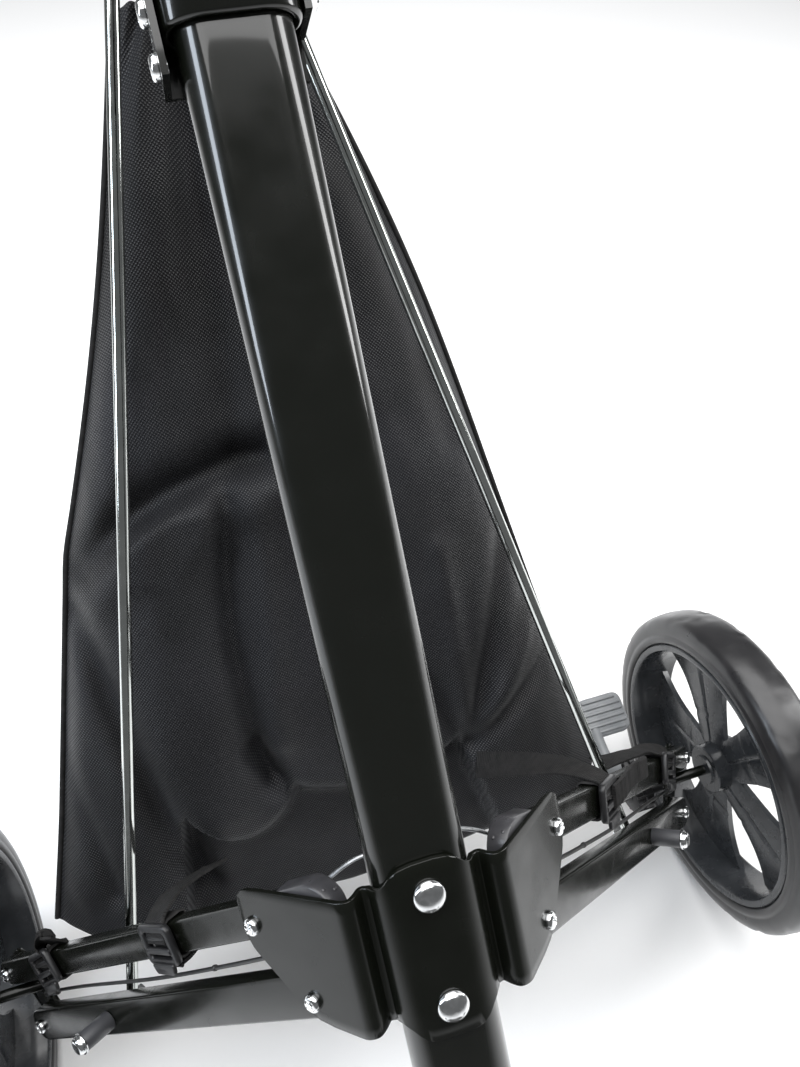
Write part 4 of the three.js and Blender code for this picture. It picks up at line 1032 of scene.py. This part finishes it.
def bag_mesh(columns=120, rows=150):
    share = np.linspace(-1, 1, columns)
    height = np.linspace(0, 1, rows)[:, None]
    u_mid = BAG_BOTTOM + (BAG_TOP - BAG_BOTTOM) * height
    across = np.abs(share[None, :])
    hang = (CORNER_DROP * across ** 2 + MIDDLE_DROP * (1 - across ** 2.5)) * (1 - height) ** 3
    u = u_mid - hang
    left = bag_half_width(BAG_EDGES["left"], u_mid)
    right = bag_half_width(BAG_EDGES["right"], u_mid)
    x = np.where(share < 0, share * left, share * right)
    depth = bag_depth(u)
    relief = np.zeros(x.shape)
    for rise, half_width, start, end, sag in FOLDS:
        relief += FOLD_DEPTH * rise * fold_height(x, u, sagging_line(start, end, sag), half_width)
    pouch = pouch_edge(x)
    tuck = np.clip((pouch + 10 - u) / 22, 0, 1)
    tuck = tuck * tuck * (3 - 2 * tuck)
    spoke = np.arctan2(x, 560 - u)
    pleats = 2.4 * np.sin(spoke * 46) * np.exp(-(500 - u) / 120)
    relief = np.clip(relief + pleats + 1.3 * crumple(x, u, 3.1), -24, 12) - 30 * tuck
    edge = np.abs(share[None, :]) ** 7
    fade = 1 - np.abs(share[None, :]) ** 14
    front = bag_front_plane(u) - 2 - edge * depth * 0.5 + relief * fade
    back_relief = 5 * np.sin(x / 31 + u / 210) + 3 * np.sin(x / 17 - u / 90) + 2 * crumple(x, u, 8.7)
    back = bag_front_plane(u) - depth * (1 - 0.5 * edge) + back_relief * fade * 0.8
    rings = []
    for r in range(rows):
        ring = [(x[r, k], u[r, k], front[r, k]) for k in range(columns)]
        ring += [(x[r, k], u[r, k], back[r, k]) for k in range(columns - 1, -1, -1)]
        rings.append(ring)
    low = rings[0]
    middle = [(front[0, k] + back[0, k]) / 2 for k in range(columns)]
    middle = middle + middle[::-1]
    for drop, squeeze in ((3, 0.86), (6, 0.62), (8, 0.3), (8.6, 0.05)):
        rings.insert(0, [(px * (1 - 0.004 * drop), pu - drop, mid + (pn - mid) * squeeze)
                         for (px, pu, pn), mid in zip(low, middle)])
    points = [tube_point(*p) for ring in rings for p in ring]
    flat = [(float(p[0]) * MM, float(p[1]) * MM) for ring in rings for p in ring]
    faces = loft([[0] * len(rings[0]) for _ in rings])[1]
    return points, faces, flat, x, u, front, back


bag_points, bag_faces, bag_flat, bag_x, bag_u, bag_front, bag_back = bag_mesh()
bag = piece("nylon_storage_bag", bag_points, bag_faces, "bag_nylon", "sliding_collar",
            ["storage_bag"], sharp=180, uvs=bag_flat)
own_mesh(bag)

for name, column in (("left", 0), ("right", -1)):
    middle_n = (bag_front[:, column] + bag_back[:, column]) / 2
    line = [tube_point(bag_x[r, column] * 1.004, bag_u[r, column], middle_n[r])
            for r in range(0, bag_x.shape[0], 7)]
    piping = piece(f"bag_piping_{name}", *sweep_path(line, 2.1, 12, 3), "strap_webbing",
                   "sliding_collar", sharp=60)
    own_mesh(piping)


# ---------------------------------------------------------------- straps and buckles
def ribbon(points, across_at_start, across_at_end, width, thickness, rib=0.0, steps=10):
    """A flat webbing band along a smooth curve; rib raises teeth across it every few millimetres."""
    path = smooth_path(points, steps)
    rings, flat, run = [], [], 0.0
    for i, p in enumerate(path):
        share = i / (len(path) - 1)
        tangent = (path[min(i + 1, len(path) - 1)] - path[max(i - 1, 0)]).normalized()
        across = (across_at_start * (1 - share) + across_at_end * share)
        across = (across - across.dot(tangent) * tangent).normalized()
        normal = tangent.cross(across)
        run += (p - path[i - 1]).length if i else 0.0
        teeth = rib * (0.5 + 0.5 * math.copysign(1, math.sin(run / MM * 2 * math.pi / 3.6)))
        half = thickness / 2
        section = [(-0.5, 0), (-0.49, half * 0.8), (-0.46, half + 0.4), (-0.4, half + teeth),
                   (0.4, half + teeth), (0.46, half + 0.4), (0.49, half * 0.8), (0.5, 0),
                   (0.49, -half * 0.8), (0.46, -half), (-0.46, -half), (-0.49, -half * 0.8)]
        rings.append([p + MM * (a * width * across + b * normal) for a, b in section])
        flat += [(a * width * MM, run) for a, b in section]
    vertices, faces = loft(rings)
    return vertices, faces, flat


def strap_loop(side, along, width=20.0):
    """The band that goes round the upper bar."""
    a, b, c = bar_axes(side)
    centre = bar_point(side, True, along, 0, 0)
    rings = []
    for i in range(33):
        k = i / 32
        t = 2 * math.pi * k
        reach = 11.4 / max(abs(math.cos(t)), 1e-6), 7.5 / max(abs(math.sin(t)), 1e-6)
        radius = min(min(reach), 12.6)
        place = centre + MM * radius * (math.cos(t) * b + math.sin(t) * c)
        ray = (math.cos(t) * b + math.sin(t) * c)
        rings.append([place + MM * (s * width / 2 * a + d * ray) for s, d in
                      ((-1, -0.4), (-0.98, 0.9), (-0.9, 1.2), (0.9, 1.2), (0.98, 0.9), (1, -0.4))])
    return loft(rings[:-1], closed=True)


def buckle(side, along, lean):
    """A flat ladder-lock buckle on the bar's front: a rounded frame, two cross bars and a lifted lip."""
    a, b, c = bar_axes(side)
    up = (math.cos(lean) * b + math.sin(lean) * a).normalized()
    wide = up.cross(c).normalized()
    centre = bar_point(side, True, along, 1, 10.6)
    rings = []
    for width, height, radius, ahead in ((28.6, 24.6, 4, -2.2), (30, 26, 4.6, -1.5), (30, 26, 4.6, 1.5),
                                         (28.6, 24.6, 4, 2.2), (22.8, 18, 2.6, 2.2), (21.6, 17, 2.2, 1.5),
                                         (21.6, 17, 2.2, -1.5), (22.8, 18, 2.6, -2.2)):
        rings.append([centre + MM * (x * wide + y * up + ahead * c)
                      for x, y in rounded_rectangle(width, height, radius, 5)])
    parts = [loft(rings, closed=True)]
    for level, ahead, thick in ((-3.5, 1.2, 4.2), (3.5, -0.4, 3.6)):
        row = centre + MM * (level * up + ahead * c)
        parts.append(straight_bar(rounded_rectangle(thick, 3.4, 1.4, 4), row - 11.6 * MM * wide,
                                  row + 11.6 * MM * wide, up, c, 0.8))
    lip = plate(round_corners([(-11, -3.5), (11, -3.5), (9, 3.5), (-9, 3.5)], 2.5, 4),
                centre + MM * (-14.4 * up + 2.2 * c), wide, -up, c, -1.4, 1.4, 0.8)
    return merge(*parts, lip)


STRAPS = {  # along the bar, where it meets the bag (x, u, n), its bow, the height of its teeth and its twist
    ("left", "inner"): (96, (-116, -38, -200), 5, 0.0, 0.0),
    ("left", "outer"): (262, (-234, -68, -216), 3, 0.0, 0.0),
    ("right", "inner"): (96, (86, -24, -200), 5, 0.9, 0.8),
    ("right", "outer"): (262, (186, -60, -212), 4, 0.0, 0.3),
}
for (label, which), (along, bag_end, bow, rib, twist) in STRAPS.items():
    side = SIDES[label]
    a, b, c = bar_axes(side)
    name = f"{label}_{which}"
    body = f"{label}_upper_link"
    piece(f"{name}_strap_loop", *strap_loop(side, along), "strap_webbing", body, [f"{name}_strap"], sharp=60)
    lean = -0.16 if which == "inner" else 0.12
    piece(f"{name}_buckle", *buckle(side, along, lean), "black_plastic", body, sharp=50)
    begin = bar_point(side, True, along, 2, 11.6)
    over = bar_point(side, True, along - 1, 13.4, 7)
    end = tube_point(*bag_end)
    middle = over.lerp(end, 0.5) + MM * bow * b
    route = [begin, over, over.lerp(middle, 0.5) + MM * 3 * b, middle, end.lerp(middle, 0.3), end]
    vertices, faces, flat = ribbon(route, a, (1 - twist) * a + twist * b, 20, 1.6, rib)
    piece(f"{name}_strap_to_bag", vertices, faces, "strap_webbing", body, sharp=35, uvs=flat)
    tail = [bar_point(side, True, along + 2, 2, 13), bar_point(side, True, along + 22, 5, 13.5),
            bar_point(side, True, along + 52, 9, 11), bar_point(side, True, along + 84, 12, 13)]
    if (label, which) == ("right", "inner"):
        vertices, faces, flat = ribbon(tail, b, b, 16, 1.6, 1.1)
        piece(f"{name}_strap_tail", vertices, faces, "strap_webbing", body, sharp=35, uvs=flat)
    elif which == "inner":
        hang = [bar_point(side, True, along + 1, -12, 10), bar_point(side, True, along + 2, -14.6, 8),
                bar_point(side, True, along + 2, -15, 2), bar_point(side, True, along, -12.8, -7)]
        vertices, faces, flat = ribbon(hang, a, a, 20, 1.6)
        piece(f"{name}_strap_slack", vertices, faces, "strap_webbing", body, sharp=35, uvs=flat)

# ---------------------------------------------------------------- stage and light
floor_mesh = bpy.data.meshes.new("studio_floor")
FLOOR = 6.0
floor_mesh.from_pydata([(-FLOOR, -FLOOR, 0), (FLOOR, -FLOOR, 0), (FLOOR, FLOOR, 0), (-FLOOR, FLOOR, 0)], [],
                       [(0, 1, 2, 3)])
floor = bpy.data.objects.new("studio_floor", floor_mesh)
floor.location.z = cad_low.z - 0.0005
floor_material = node_material("pale_floor", (0.95, 0.95, 0.95), 0.9)
vary(floor_material, "Base Color", object_noise(floor_material, 2.0), (0.94, 0.94, 0.94), (0.96, 0.96, 0.96))
floor_mesh.materials.append(floor_material)
bpy.context.scene.collection.objects.link(floor)

world = bpy.data.worlds.new("studio")
world.use_nodes = True
world.node_tree.nodes["Background"].inputs["Color"].default_value = (0.96, 0.98, 1.0, 1)
world.node_tree.nodes["Background"].inputs["Strength"].default_value = 0.16
bpy.context.scene.world = world


def area_light(name, place, target, size, power, color=(1, 1, 1)):
    data = bpy.data.lights.new(name, "AREA")
    data.shape = "RECTANGLE"
    data.size, data.size_y = size
    data.energy = power
    data.color = color
    light = bpy.data.objects.new(name, data)
    light.location = place
    light.rotation_euler = (Vector(target) - Vector(place)).to_track_quat("-Z", "Y").to_euler()
    bpy.context.scene.collection.objects.link(light)


bpy.context.scene.view_settings.view_transform = "Standard"
area_light("overhead", (0.0, 0.6, 3.0), (0, 0.2, 0), (3.2, 3.2), 150)
area_light("strip_left", (-1.7, 0.1, 1.5), (0, 0.1, 0.5), (0.35, 1.8), 26, (0.82, 0.9, 1.0))
area_light("strip_right", (1.7, 0.2, 1.4), (0, 0.1, 0.5), (0.4, 1.8), 24)
